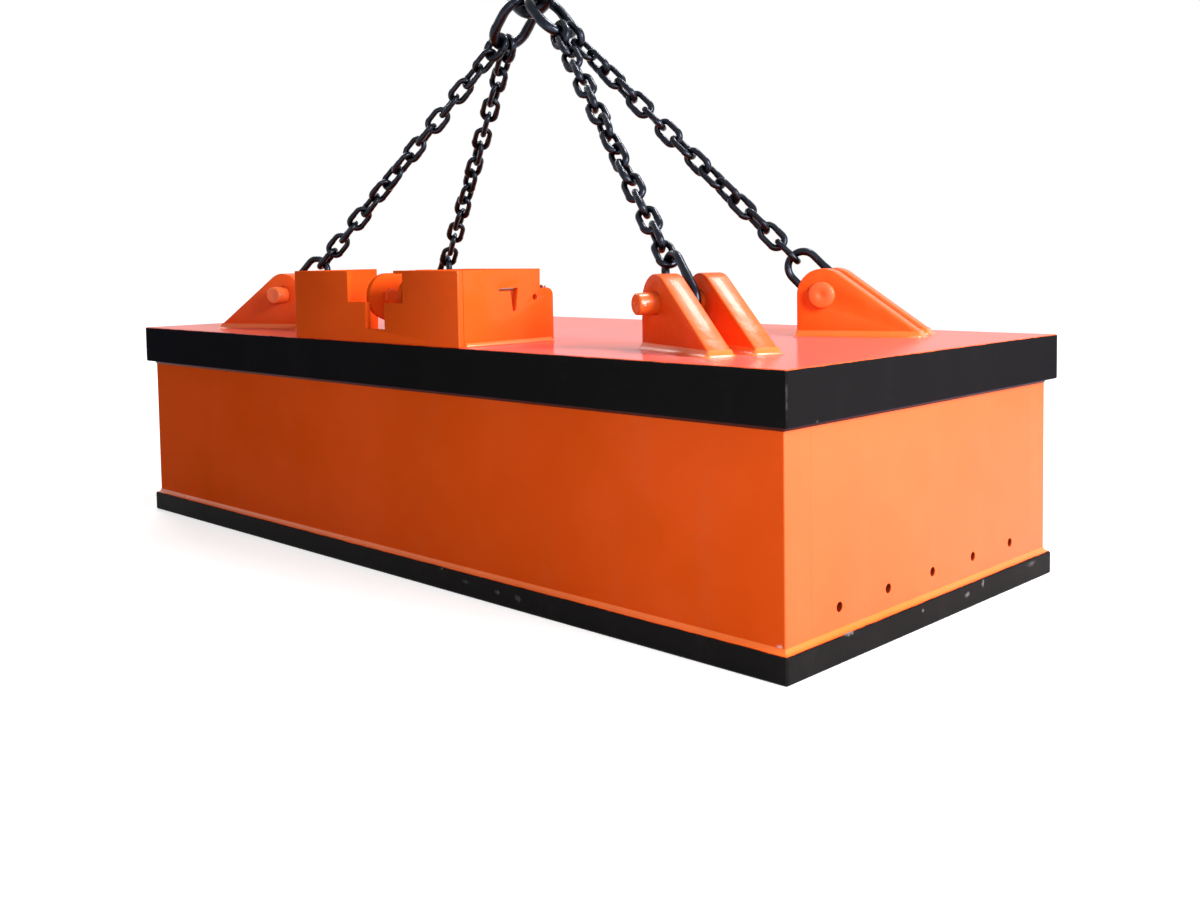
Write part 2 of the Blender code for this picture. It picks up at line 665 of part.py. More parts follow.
def sling_geometry():
    """Where the legs end, and the two ends of a joining link, in (outward, aside, height).

    Each pair of legs pulls straight through its joining link, so the pins' middle, the
    joining link and its place on the master link lie on one slanting line. Legs and joining
    links hang one step from the middle of the bow that carries them.
    """
    step = pi / BOW_STEPS
    leg = top_link_start() + TOP_LINK_INNER_LENGTH + TOP_LINK_WIRE
    joining_bend = (JOINING_INNER_WIDTH + JOINING_WIRE) / 2
    leg_in = joining_bend - bearing(JOINING_BAR, TOP_BAR) - SEAT
    leg_aside = leg_in * sin(step)
    master_bend = (MASTER_INNER_WIDTH + MASTER_WIRE) / 2
    joining_in = master_bend - bearing(MASTER_BAR, JOINING_BAR) - SEAT
    joining_out = joining_in * sin(step)

    run = sqrt(leg ** 2 - (PIN_ASIDE - leg_aside) ** 2)
    to_head = leg_in * cos(step) + JOINING_INNER_LENGTH + JOINING_WIRE - joining_bend
    slant_cos = (PIN_OUT - joining_out) / (run + to_head)
    slant_sin = sqrt(1.0 - slant_cos ** 2)
    leg_end = Vector((PIN_OUT - run * slant_cos, leg_aside, PIN_LEVEL + run * slant_sin))
    reach = run + to_head
    joining_top = Vector((PIN_OUT - reach * slant_cos, 0.0, PIN_LEVEL + reach * slant_sin))
    slant = Vector((-slant_cos, 0.0, slant_sin))
    master_bend_height = joining_top.z + joining_in * cos(step)
    return leg_end, joining_top, slant, master_bend_height


def ring_mesh(name, inner_length, inner_width, bar):
    """A closed wire ring about the origin: long in X, wide in Y."""
    wire, sides, steps = bar
    radius = (inner_width + wire) / 2
    straight = (inner_length + wire) / 2 - radius * (cos(pi / steps / 2) if steps % 2 else 1.0)
    path = arc((straight, 0.0), radius, -pi / 2, pi / 2, steps)
    path += arc((-straight, 0.0), radius, pi / 2, 3 * pi / 2, steps)
    curve = bpy.data.curves.new(name, "CURVE")
    curve.dimensions = "2D"
    curve.fill_mode = "NONE"
    curve.bevel_depth = wire / 2
    curve.bevel_resolution = (sides - 4) // 2
    spline = curve.splines.new("POLY")
    spline.points.add(len(path) - 1)
    for point, (x, y) in zip(spline.points, path):
        point.co = (x, y, 0.0, 1.0)
    spline.use_cyclic_u = True
    return curve_to_mesh(name, curve)


def place_rings(name, mesh, frames):
    """Copies of one ring in one object, at the given frames."""
    bm = bmesh.new()
    for frame in frames:
        start = len(bm.verts)
        bm.from_mesh(mesh)
        bm.verts.ensure_lookup_table()
        bmesh.ops.transform(bm, matrix=frame, verts=bm.verts[start:])
    return mesh_object(name, bm)


def ring_piece(name, inner_length, inner_width, bar, frame, finish):
    """One ring in its place."""
    obj = bpy.data.objects.new(name, ring_mesh(name, inner_length, inner_width, bar))
    obj.matrix_world = frame
    return finish_piece(obj, finish)


def build_lug(label, sx, sy, leg_end, slant):
    """One corner: two ears, their pin with its roll pin, the end link and the chain leg."""
    end_point = Vector((sx * leg_end.x, sy * leg_end.y, leg_end.z))
    pin_point = Vector((sx * PIN_OUT, sy * PIN_ASIDE, PIN_LEVEL))
    outward = pin_point - end_point
    up = Vector((0.0, 0.0, 1.0))
    along = Vector((outward.x, outward.y, 0.0)).normalized()
    across = up.cross(along)
    outer = sx * sy     # the outer side of the lug is +across or -across

    for side_label, side in (("outer", outer), ("inner", -outer)):
        ear = outline_mesh(
            f"ear_{label}_{side_label}", ear_outline(),
            [circle((0.0, PIN_HEIGHT), bore(PIN_DIAMETER, TURN_STEPS), TURN_STEPS)], EAR_THICKNESS)
        offset = side * (EAR_GAP + EAR_THICKNESS) / 2
        origin = Vector((pin_point.x, pin_point.y, YOKE_TOP)) + across * offset
        ear.matrix_world = frame_of(origin, along, up)
        finish_piece(ear, ORANGE)

    head_axis = -across * outer
    pin = turned_mesh(f"pin_{label}", pin_profile(), TURN_STEPS)
    pin.matrix_world = frame_of(pin_point, along, head_axis.cross(along))
    tail = EAR_GAP / 2 + EAR_THICKNESS + PIN_TAIL - ROLL_PIN_SETBACK
    hole_frame = frame_of(pin_point - head_axis * tail, across, up)
    combine(pin, cylinder_cutter(
        f"roll_pin_hole_{label}", bore(ROLL_PIN_DIAMETER, HOLE_STEPS), 2 * PIN_DIAMETER,
        hole_frame, HOLE_STEPS))
    finish_piece(pin, ORANGE)
    half = PIN_DIAMETER / 2 + ROLL_PIN_PROUD
    inner = ROLL_PIN_BORE / 2
    outer_radius = ROLL_PIN_DIAMETER / 2
    roll_pin = turned_mesh(f"roll_pin_{label}", [
        (inner, half), (outer_radius, half), (outer_radius, -half), (inner, -half),
        (inner, half)], HOLE_STEPS)
    roll_pin.matrix_world = hole_frame
    finish_piece(roll_pin, ZINC)

    leg_axis = -outward.normalized()
    in_plane = across.cross(leg_axis)
    middle = end_link_start() + (END_LINK_INNER_LENGTH + END_LINK_WIRE) / 2
    ring_piece(
        f"end_link_{label}", END_LINK_INNER_LENGTH, END_LINK_INNER_WIDTH, END_BAR,
        frame_of(pin_point + leg_axis * middle, leg_axis, in_plane), DARK_STEEL)

    # The leg twists a little on its way up, from the lug's own plane to the joining link's.
    normal = Vector((sx * slant.z, 0.0, -slant.x))
    normal = (normal - leg_axis * normal.dot(leg_axis)).normalized()
    twist = atan2(leg_axis.dot(in_plane.cross(normal)), in_plane.dot(normal))
    frames = []
    for i in range(LINKS_PER_LEG + 1):
        turn = Matrix.Rotation(twist * (i + 1) / (LINKS_PER_LEG + 1), 3, leg_axis)
        width_axis = turn @ (in_plane if i % 2 else across)
        place = chain_start() + i * CHAIN_PITCH + CHAIN_SPAN / 2
        if i == LINKS_PER_LEG:
            place = top_link_start() + (TOP_LINK_INNER_LENGTH + TOP_LINK_WIRE) / 2
        frames.append(frame_of(pin_point + leg_axis * place, leg_axis, width_axis))
    link = ring_mesh("chain_link", CHAIN_SPAN - CHAIN_WIRE, CHAIN_INNER_WIDTH, CHAIN_BAR)
    top = ring_mesh("top_link", TOP_LINK_INNER_LENGTH, TOP_LINK_INNER_WIDTH, TOP_BAR)
    chain = place_rings(f"chain_{label}", link, frames[0:LINKS_PER_LEG:2])
    between = place_rings(f"chain_{label}_between", link, frames[1:LINKS_PER_LEG:2])
    top_ring = place_rings(f"chain_{label}_top", top, frames[-1:])
    combine(chain, hide_cutter(between), "UNION")
    combine(chain, hide_cutter(top_ring), "UNION")
    finish_piece(chain, DARK_STEEL)


def build_sling(leg_end, joining_top, slant, master_bend_height):
    """Joining links and the master link above the lugs."""
    across = Vector((0.0, 1.0, 0.0))
    for label, side in (("right", 1), ("left", -1)):
        axis = Vector((side * slant.x, 0.0, slant.z))
        top = Vector((side * joining_top.x, 0.0, joining_top.z))
        middle = top - axis * (JOINING_INNER_LENGTH + JOINING_WIRE) / 2
        ring_piece(
            f"joining_link_{label}", JOINING_INNER_LENGTH, JOINING_INNER_WIDTH, JOINING_BAR,
            frame_of(middle, axis, across), DARK_STEEL)
    bend = (MASTER_INNER_WIDTH + MASTER_WIRE) / 2
    middle = Vector((0.0, 0.0, master_bend_height + (MASTER_INNER_LENGTH + MASTER_WIRE) / 2 - bend))
    ring_piece(
        "master_link", MASTER_INNER_LENGTH, MASTER_INNER_WIDTH, MASTER_BAR,
        frame_of(middle, Vector((0.0, 0.0, 1.0)), Vector((1.0, 0.0, 0.0))), DARK_STEEL)


def build_guard():
    """Front plate with the stepped notch, the two end plates, and the lid over the box."""
    low = SEAT
    top = GUARD_HEIGHT
    outline = [
        (GUARD_LEFT, low), (GUARD_RIGHT, low), (GUARD_RIGHT, top), (NOTCH_HALF_WIDTH, top),
        (NOTCH_HALF_WIDTH, NOTCH_SILL), (SLOT_HALF_WIDTH, NOTCH_SILL), (SLOT_HALF_WIDTH, SLOT_SILL),
        (-SLOT_HALF_WIDTH, SLOT_SILL), (-SLOT_HALF_WIDTH, NOTCH_SILL),
        (-NOTCH_HALF_WIDTH, NOTCH_SILL), (-NOTCH_HALF_WIDTH, top), (GUARD_LEFT, top),
    ]
    front = outline_mesh("guard_front_plate", outline, [], GUARD_PLATE)
    origin = Vector((0.0, YOKE_FRONT + GUARD_PLATE / 2, YOKE_TOP))
    front.matrix_world = frame_of(origin, Vector((1.0, 0.0, 0.0)), Vector((0.0, 0.0, 1.0)))
    finish_piece(front, ORANGE)

    # End plates are drawn in (distance behind the yoke plate's front edge, height).
    start = GUARD_PLATE + SEAT
    back = GUARD_DEPTH + STEP_DEPTH
    corner = arc((back - STEP_CORNER, STEP_HEIGHT - STEP_CORNER), STEP_CORNER, pi / 2, 0.0, 4)
    stepped = [
        (start, low), (back, low), *reversed(corner), (GUARD_DEPTH, STEP_HEIGHT),
        (GUARD_DEPTH, top), (start, top),
    ]
    stem_back = KEY_SLOT_BACK
    stem_middle = stem_back - KEY_STEM_WIDTH / 2
    bar_bottom = KEY_SLOT_TOP - KEY_SLOT_HEIGHT
    key_slot = [
        (stem_back - KEY_SLOT_LENGTH, bar_bottom), (stem_back - KEY_STEM_WIDTH, bar_bottom),
        (stem_middle - KEY_STEM_FOOT / 2, KEY_STEM_BOTTOM),
        (stem_middle + KEY_STEM_FOOT / 2, KEY_STEM_BOTTOM),
        (stem_back, KEY_SLOT_TOP), (stem_back - KEY_SLOT_LENGTH, KEY_SLOT_TOP),
    ]
    sight = circle((SIGHT_HOLE_BACK, SIGHT_HOLE_HEIGHT), SIGHT_HOLE_DIAMETER, SMALL_STEPS)
    plain = [(start, low), (GUARD_DEPTH, low), (GUARD_DEPTH, top), (start, top)]
    for label, outer, outline, holes in (
            ("right", GUARD_RIGHT, stepped, [key_slot, sight]), ("left", GUARD_LEFT, plain, [])):
        plate = outline_mesh(f"guard_end_plate_{label}", outline, holes, GUARD_PLATE)
        inward = -1 if outer > 0 else 1
        origin = Vector((outer + inward * GUARD_PLATE / 2, YOKE_FRONT, YOKE_TOP))
        plate.matrix_world = frame_of(origin, Vector((0.0, 1.0, 0.0)), Vector((0.0, 0.0, 1.0)))
        finish_piece(plate, ORANGE)

    # The lid lies on the right-hand cheek, flush with the top of the plates.
    box_piece(
        "guard_lid", (LID_LEFT, YOKE_FRONT + start, LID_BOTTOM),
        (BOX_RIGHT, YOKE_FRONT + GUARD_DEPTH, YOKE_TOP + top), ORANGE)


def build_terminal_box():
    """The box, its cover and bolts, and the terminals inside."""
    box = box_object("terminal_box", (BOX_LEFT, BOX_FRONT, DECK), (BOX_RIGHT, BOX_BACK, BOX_TOP))
    floor = DECK + BOX_FLOOR
    room = hide_cutter(box_object(
        "terminal_box_room", (BOX_LEFT + BOX_WALL, BOX_FRONT + BOX_WALL, floor),
        (BOX_RIGHT - BOX_WALL, BOX_BACK - BOX_WALL, BOX_TOP + BOX_WALL)))
    combine(box, room)
    rim_room = box_object(
        "terminal_box_rim_room", (BOX_LEFT + BOX_RIM, BOX_FRONT + BOX_RIM, floor),
        (BOX_RIGHT - BOX_RIM, BOX_BACK - BOX_RIM, BOX_TOP + BOX_WALL))
    rim = box_object(
        "terminal_box_rim", (BOX_LEFT + BOX_WALL / 2, BOX_FRONT + BOX_WALL / 2, BOX_TOP - BOX_FLOOR * 3),
        (BOX_RIGHT - BOX_WALL / 2, BOX_BACK - BOX_WALL / 2, BOX_TOP))
    combine(rim, hide_cutter(rim_room))
    combine(box, hide_cutter(rim), "UNION")
    combine(box, cylinders_cutter(
        "box_lead_holes", LEAD_HOLE_DIAMETER, 4 * BOX_FLOOR,
        [upright((x, LEAD_Y, DECK)) for x in LEAD_XS.values()]))
    sideways = Matrix.Rotation(pi / 2, 4, "Y")
    gland_point = Vector((BOX_LEFT, YOKE_FRONT + GLAND_FRONT, YOKE_TOP + GLAND_HEIGHT))
    combine(box, cylinder_cutter(
        "gland_hole", bore(GLAND_THREAD, TURN_STEPS), 4 * BOX_WALL,
        Matrix.Translation(gland_point) @ sideways, TURN_STEPS))

    inset = BOX_RIM / 2
    bolt_places = {
        "left_front": (BOX_LEFT + inset, BOX_FRONT + inset),
        "right_front": (BOX_RIGHT - inset, BOX_FRONT + inset),
        "left_rear": (BOX_LEFT + inset, BOX_BACK - inset),
        "right_rear": (BOX_RIGHT - inset, BOX_BACK - inset),
    }
    clearance = bore(COVER_BOLT_DIAMETER, HOLE_STEPS)
    cover = box_object(
        "terminal_cover", (BOX_LEFT, BOX_FRONT, BOX_TOP + SEAT),
        (BOX_RIGHT, BOX_BACK, BOX_TOP + SEAT + COVER_THICKNESS))
    for piece, label, level in ((box, "box", BOX_TOP), (cover, "cover", BOX_TOP + COVER_THICKNESS)):
        combine(piece, cylinders_cutter(
            f"{label}_bolt_holes", clearance, 2 * COVER_BOLT_LENGTH,
            [upright((*place, level)) for place in bolt_places.values()], HOLE_STEPS))
    finish_piece(box, ORANGE)
    finish_piece(cover, ORANGE)
    cover_top = BOX_TOP + 2 * SEAT + COVER_THICKNESS
    for label, place in bolt_places.items():
        bolt = bolts_mesh(
            f"cover_bolt_{label}", [upright((*place, cover_top))],
            COVER_BOLT_DIAMETER, COVER_BOLT_LENGTH, COVER_BOLT_HEAD, COVER_BOLT_HEAD_HEIGHT)
        finish_piece(bolt, ZINC)

    board_bottom = floor + SEAT
    board = box_object(
        "terminal_board", (LEAD_X - BOARD_LENGTH / 2, LEAD_Y - BOARD_WIDTH / 2, board_bottom),
        (LEAD_X + BOARD_LENGTH / 2, LEAD_Y + BOARD_WIDTH / 2, board_bottom + BOARD_THICKNESS))
    combine(board, cylinders_cutter(
        "board_stud_holes", bore(STUD_DIAMETER, SMALL_STEPS), 4 * BOARD_THICKNESS,
        [upright((x, LEAD_Y, board_bottom)) for x in LEAD_XS.values()]))
    finish_piece(board, GLASS_BOARD)
    nut_bottom = board_bottom + BOARD_THICKNESS + SEAT
    for label, x in LEAD_XS.items():
        # A stud is a bolt with its nut as the head and its long thread cut above it.
        stud = bolts_mesh(
            f"terminal_stud_{label}", [upright((x, LEAD_Y, nut_bottom))],
            STUD_DIAMETER, BOARD_THICKNESS + SEAT, STUD_NUT, STUD_NUT_HEIGHT)
        thread = STUD_HEIGHT - STUD_NUT_HEIGHT / 2
        bm = bmesh.new()
        bmesh.ops.create_cone(
            bm, cap_ends=True, segments=SMALL_STEPS, radius1=STUD_DIAMETER / 2,
            radius2=STUD_DIAMETER / 2, depth=thread,
            matrix=upright((x, LEAD_Y, nut_bottom + STUD_NUT_HEIGHT / 2 + thread / 2)))
        combine(stud, hide_cutter(mesh_object(f"stud_thread_{label}", bm)), "UNION")
        finish_piece(stud, BRASS)

    inner = GLAND_BORE / 2
    flange = GLAND_FLANGE / 2
    thread = GLAND_THREAD / 2
    outside = GLAND_FLANGE_LENGTH + GLAND_CAP_LENGTH
    inside = -BOX_WALL - GLAND_TAIL
    mouth = PIN_CHAMFER
    gland = turned_mesh("cable_gland", [
        (inner, outside), (flange - 2 * mouth, outside), (flange - mouth, outside - mouth),
        (flange - mouth, GLAND_FLANGE_LENGTH), (flange, GLAND_FLANGE_LENGTH), (flange, SEAT),
        (thread, SEAT), (thread, inside), (inner, inside), (inner, outside),
    ], TURN_STEPS)
    gland.matrix_world = frame_of(gland_point, Vector((0.0, 0.0, 1.0)), Vector((0.0, 1.0, 0.0)))
    finish_piece(gland, BRASS)


def build_cable_hanger():
    """Two cheeks that lean forward to the notch, with a bolt across them."""
    back = CHEEK_BACK
    centre = (CHEEK_BOLT_BACK, CHEEK_BOLT_HEIGHT)
    foot_run = CHEEK_FOOT - CHEEK_BOLT_BACK
    foot_line = sqrt(foot_run ** 2 + CHEEK_BOLT_HEIGHT ** 2)
    toward_foot = atan2(-CHEEK_BOLT_HEIGHT, foot_run)
    opening = atan2(sqrt(foot_line ** 2 - CHEEK_CROWN ** 2), CHEEK_CROWN)
    under = toward_foot - opening
    crown = arc(centre, CHEEK_CROWN, pi / 2, 2 * pi + under, CHEEK_ARC_STEPS)
    outline = [
        *crown, (CHEEK_FOOT, SEAT), (back, SEAT), (back, CHEEK_BOLT_HEIGHT + CHEEK_CROWN)]
    hole = circle(centre, bore(CHEEK_BOLT_DIAMETER, SMALL_STEPS), SMALL_STEPS)
    for label, side in (("left", -1), ("right", 1)):
        cheek = outline_mesh(f"cable_cheek_{label}", outline, [hole], CHEEK_PLATE)
        origin = Vector((side * CHEEK_SPACING / 2, YOKE_FRONT, YOKE_TOP))
        cheek.matrix_world = frame_of(origin, Vector((0.0, 1.0, 0.0)), Vector((0.0, 0.0, 1.0)))
        finish_piece(cheek, ORANGE)

        # Each cheek's own bolt has its head toward the middle and its nut outside.
        axis_height = YOKE_TOP + CHEEK_BOLT_HEIGHT
        inner_face = side * (CHEEK_SPACING - CHEEK_PLATE) / 2
        head_point = Vector((inner_face - side * SEAT, YOKE_FRONT + CHEEK_BOLT_BACK, axis_height))
        frame = frame_of(head_point, Vector((0.0, -side, 0.0)), Vector((0.0, 0.0, 1.0)))
        length = CHEEK_PLATE + 2 * SEAT + CHEEK_NUT_HEIGHT + CHEEK_BOLT_TAIL
        bolt = bolts_mesh(
            f"cable_bolt_{label}", [frame], CHEEK_BOLT_DIAMETER, length, CHEEK_BOLT_HEAD,
            CHEEK_BOLT_HEAD_HEIGHT)
        finish_piece(bolt, ZINC)
        under = -CHEEK_PLATE - 2 * SEAT - CHEEK_NUT_HEIGHT / 2
        nut_frame = frame @ Matrix.Translation((0.0, 0.0, under))
        bm = bmesh.new()
        bmesh.ops.create_cone(
            bm, cap_ends=True, segments=6, radius1=CHEEK_BOLT_HEAD / 2,
            radius2=CHEEK_BOLT_HEAD / 2, depth=CHEEK_NUT_HEIGHT, matrix=nut_frame)
        nut = mesh_object(f"cable_nut_{label}", bm)
        combine(nut, cylinder_cutter(
            f"cable_nut_bore_{label}", bore(CHEEK_BOLT_DIAMETER, SMALL_STEPS), 3 * CHEEK_NUT_HEIGHT,
            nut_frame))
        finish_piece(nut, ZINC)


def build():
    """Model the whole magnet."""
    clear_scene()
    build_body()
    build_magnet()
    leg_end, joining_top, slant, master_bend_height = sling_geometry()
    for label, sx, sy in CORNERS:
        build_lug(label, sx, sy, leg_end, slant)
    build_sling(leg_end, joining_top, slant, master_bend_height)
    build_guard()
    build_terminal_box()
    build_cable_hanger()


build()
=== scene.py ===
"""Looks of a long lifting electromagnet with pinned lugs, a chain sling and a guarded terminal box.

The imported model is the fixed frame. Steel plates, links, pins, bolts and welds that show their
edges are built again here with round edges, in the places that the frame gives, and every other
piece of the frame gets its finish.
"""

import logging
import math
from dataclasses import dataclass, field, replace
from enum import Enum
from typing import Iterable, Sequence

import bmesh
import bpy
from bmesh.types import BMEdge, BMesh, BMVert
from mathutils import Matrix, Vector


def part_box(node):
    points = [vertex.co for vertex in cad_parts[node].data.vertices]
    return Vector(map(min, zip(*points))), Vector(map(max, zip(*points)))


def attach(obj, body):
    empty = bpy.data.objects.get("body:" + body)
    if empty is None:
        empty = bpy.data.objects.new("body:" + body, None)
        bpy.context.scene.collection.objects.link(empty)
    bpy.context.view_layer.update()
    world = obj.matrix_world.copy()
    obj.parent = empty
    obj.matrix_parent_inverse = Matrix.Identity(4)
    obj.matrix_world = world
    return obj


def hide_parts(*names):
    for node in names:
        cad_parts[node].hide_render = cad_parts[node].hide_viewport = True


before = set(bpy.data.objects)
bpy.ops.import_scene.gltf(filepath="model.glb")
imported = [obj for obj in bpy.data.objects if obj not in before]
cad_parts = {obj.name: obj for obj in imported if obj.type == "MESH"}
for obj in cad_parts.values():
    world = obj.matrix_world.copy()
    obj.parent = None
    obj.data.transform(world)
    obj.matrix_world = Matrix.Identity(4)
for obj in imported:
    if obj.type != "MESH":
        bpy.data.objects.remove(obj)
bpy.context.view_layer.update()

log = logging.getLogger("lifting_magnet")

Socket = bpy.types.NodeSocket
Sockets = bpy.types.NodeOutputs
Results = dict[str, Socket]
Colour = tuple[float, float, float, float]
Triple = tuple[float, float, float]

ROOT = "root"
UP = Vector((0.0, 0.0, 1.0))
RIGHTWARD = Vector((1.0, 0.0, 0.0))
BACKWARD = Vector((0.0, 1.0, 0.0))
SMOOTH_ANGLE = math.radians(40.0)
HOLE_SIDES = 40
HEXAGON_EDGE = 0.05  # rounding of a hexagon's edges, as a share of its width
HEXAGON_ANGLE = math.radians(50.0)
SEAT = 0.0003  # gap between two pieces that touch
FLOAT = "NodeSocketFloat"
COLOUR = "NodeSocketColor"
VECTOR = "NodeSocketVector"


class Corner(Enum):
    """The four corners of the magnet: name in the frame, side along X, side along Y."""

    RIGHT_REAR = ("right_rear", 1, 1)
    RIGHT_FRONT = ("right_front", 1, -1)
    LEFT_FRONT = ("left_front", -1, -1)
    LEFT_REAR = ("left_rear", -1, 1)

    @property
    def label(self) -> str:
        """Name of the corner in the frame's nodes."""
        return self.value[0]

    @property
    def sx(self) -> int:
        """Side along the magnet."""
        return self.value[1]

    @property
    def sy(self) -> int:
        """Side across the magnet."""
        return self.value[2]


class Side(Enum):
    """Left and right half of the magnet, as a sign along X."""

    LEFT = -1
    RIGHT = 1

    @property
    def label(self) -> str:
        """Name of the side in the frame's nodes."""
        return self.name.lower()


class Slot(Enum):
    """Material slots of the record."""

    ENAMEL = "enamel"
    BLACK = "black_enamel"
    CHAIN = "chain_steel"
    ZINC = "zinc"
    BRASS = "brass"


# Shader building


class Graph:
    """Short ways to add and join the nodes of one node tree."""

    def __init__(self, tree: bpy.types.NodeTree) -> None:
        """Keep the tree."""
        self.tree = tree

    def add(self, kind: str, settings: dict | None = None, **sockets: object) -> bpy.types.Node:
        """Add a node and fill its input sockets.

        Args:
            kind: node type.
            settings: properties of the node.
            sockets: value or source socket by input name, with _ for a blank.

        Returns:
            The new node.
        """
        node = self.tree.nodes.new(kind)
        for name, value in (settings or {}).items():
            setattr(node, name, value)
        for name, value in sockets.items():
            self.feed(node.inputs[name.replace("_", " ")], value)
        return node

    def feed(self, socket: Socket, value: object) -> None:
        """Link a source socket to an input, or set the input's own value.

        Args:
            socket: the input.
            value: a source socket, a number, a colour or a vector.
        """
        if isinstance(value, Socket):
            self.tree.links.new(value, socket)
        elif value is not None:
            socket.default_value = value

    def result(self, kind: str, settings: dict, values: dict[int, object],
               output: int = 0) -> Socket:
        """Add a node that is fed by the numbers of its inputs.

        Args:
            kind: node type.
            settings: properties of the node.
            values: value or source socket by number of the input.
            output: number of the output that is wanted.

        Returns:
            That output.
        """
        node = self.add(kind, settings)
        for number, value in values.items():
            self.feed(node.inputs[number], value)
        return node.outputs[output]

    def math(self, operation: str, first: object, second: object = None) -> Socket:
        """The result of a Math node."""
        return self.result("ShaderNodeMath", {"operation": operation}, {0: first, 1: second})

    def arrow(self, operation: str, first: object, second: object = None,
              output: int = 0) -> Socket:
        """The result of a Vector Math node."""
        settings = {"operation": operation}
        return self.result("ShaderNodeVectorMath", settings, {0: first, 1: second}, output)

    def times(self, first: object, second: object) -> Socket:
        """The product of two numbers."""
        return self.math("MULTIPLY", first, second)

    def plus(self, first: object, second: object) -> Socket:
        """The sum of two numbers."""
        return self.math("ADD", first, second)

    def minus(self, first: object, second: object) -> Socket:
        """The first number less the second."""
        return self.math("SUBTRACT", first, second)

    def ramp(self, value: Socket, low: float, high: float, to_low: float = 0.0,
             to_high: float = 1.0) -> Socket:
        """The range from low to high mapped smoothly to that from to_low to to_high."""
        return self.add(
            "ShaderNodeMapRange", {"interpolation_type": "SMOOTHSTEP"}, Value=value,
            From_Min=low, From_Max=high, To_Min=to_low, To_Max=to_high).outputs[0]

    def noise(self, vector: Socket, scale: object, detail: float = 2.0,
              roughness: float = 0.5) -> Socket:
        """A noise pattern from 0 to 1, its scale in cells for each metre."""
        return self.add(
            "ShaderNodeTexNoise", None, Vector=vector, Scale=scale, Detail=detail,
            Roughness=roughness).outputs[0]

    def stretch(self, vector: Socket, scale: Triple) -> Socket:
        """Coordinates scaled by axis, so that a pattern runs along one of them."""
        return self.add("ShaderNodeMapping", None, Vector=vector, Scale=scale).outputs[0]

    def blend(self, factor: object, first: object, second: object) -> Socket:
        """Two colours mixed, the second by the factor's share."""
        settings = {"data_type": "RGBA"}
        return self.result("ShaderNodeMix", settings, {0: factor, 6: first, 7: second}, 2)

    def lerp(self, factor: object, first: object, second: object) -> Socket:
        """Two numbers mixed, the second by the factor's share."""
        return self.result("ShaderNodeMix", {}, {0: factor, 2: first, 3: second})


def rgb(red: float, green: float, blue: float) -> Colour:
    """A linear colour with full alpha."""
    return (red, green, blue, 1.0)


class Effect:
    """A shader node group that several finishes share."""

    name = "effect"
    inputs: Sequence[tuple[str, str]] = ()
    outputs: Sequence[tuple[str, str]] = ()

    def tree(self) -> bpy.types.NodeTree:
        """The group's node tree, built on first use.

        Returns:
            The node tree.
        """
        found = bpy.data.node_groups.get(self.name)
        if found is not None:
            return found
        tree = bpy.data.node_groups.new(self.name, "ShaderNodeTree")
        for label, kind in self.inputs:
            tree.interface.new_socket(name=label, in_out="INPUT", socket_type=kind)
        for label, kind in self.outputs:
            tree.interface.new_socket(name=label, in_out="OUTPUT", socket_type=kind)
        graph = Graph(tree)
        taken = tree.nodes.new("NodeGroupInput").outputs
        given = tree.nodes.new("NodeGroupOutput").inputs
        for label, value in self.fill(graph, taken).items():
            graph.feed(given[label], value)
        return tree

    def fill(self, graph: Graph, taken: Sockets) -> Results:
        """Build the group's inside.

        Args:
            graph: the group's graph.
            taken: the group's inputs, as sockets inside it.

        Returns:
            Result socket by output name.
        """
        raise NotImplementedError

    def place(self, graph: Graph, **sockets: object) -> Sockets:
        """Add this group to a material's graph."""
        return graph.add("ShaderNodeGroup", {"node_tree": self.tree()}, **sockets).outputs


class SprayedPaint(Effect):
    """Sprayed enamel: slow changes of tone, a thin film of dust, and orange peel."""

    name = "sprayed_paint"
    inputs = (("Vector", VECTOR), ("Colour", COLOUR), ("Dusty Colour", COLOUR), ("Tone", FLOAT),
              ("Dust", FLOAT), ("Gloss Roughness", FLOAT))
    outputs = (("Colour", COLOUR), ("Roughness", FLOAT), ("Height", FLOAT))

    def fill(self, graph: Graph, taken: Sockets) -> Results:
        """Build the group's inside.

        Args:
            graph: the group's graph.
            taken: the group's inputs.

        Returns:
            Result socket by output name.
        """
        place = taken["Vector"]
        cloud = graph.noise(place, 2.2, 3.0, 0.55)
        runs = graph.noise(graph.stretch(place, (9.0, 9.0, 1.3)), 1.0, 4.0, 0.6)
        speck = graph.noise(place, 60.0, 5.0, 0.7)
        peel = graph.noise(place, 190.0, 2.0, 0.4)
        waves = graph.noise(place, 15.0, 2.0, 0.45)
        darker = graph.add(
            "ShaderNodeHueSaturation", None, Color=taken["Colour"], Saturation=1.06, Value=0.80)
        tone = graph.times(graph.ramp(cloud, 0.38, 0.68), taken["Tone"])
        toned = graph.blend(tone, taken["Colour"], darker.outputs[0])
        film = graph.times(graph.ramp(runs, 0.45, 0.80), graph.ramp(speck, 0.3, 0.7))
        dust = graph.times(film, taken["Dust"])
        rough = graph.plus(taken["Gloss Roughness"], graph.ramp(cloud, 0.30, 0.75, -0.03, 0.06))
        height = graph.plus(graph.times(peel, 0.08), waves)
        return {
            "Colour": graph.blend(dust, toned, taken["Dusty Colour"]),
            "Roughness": graph.lerp(dust, rough, 0.75),
            "Height": height,
        }


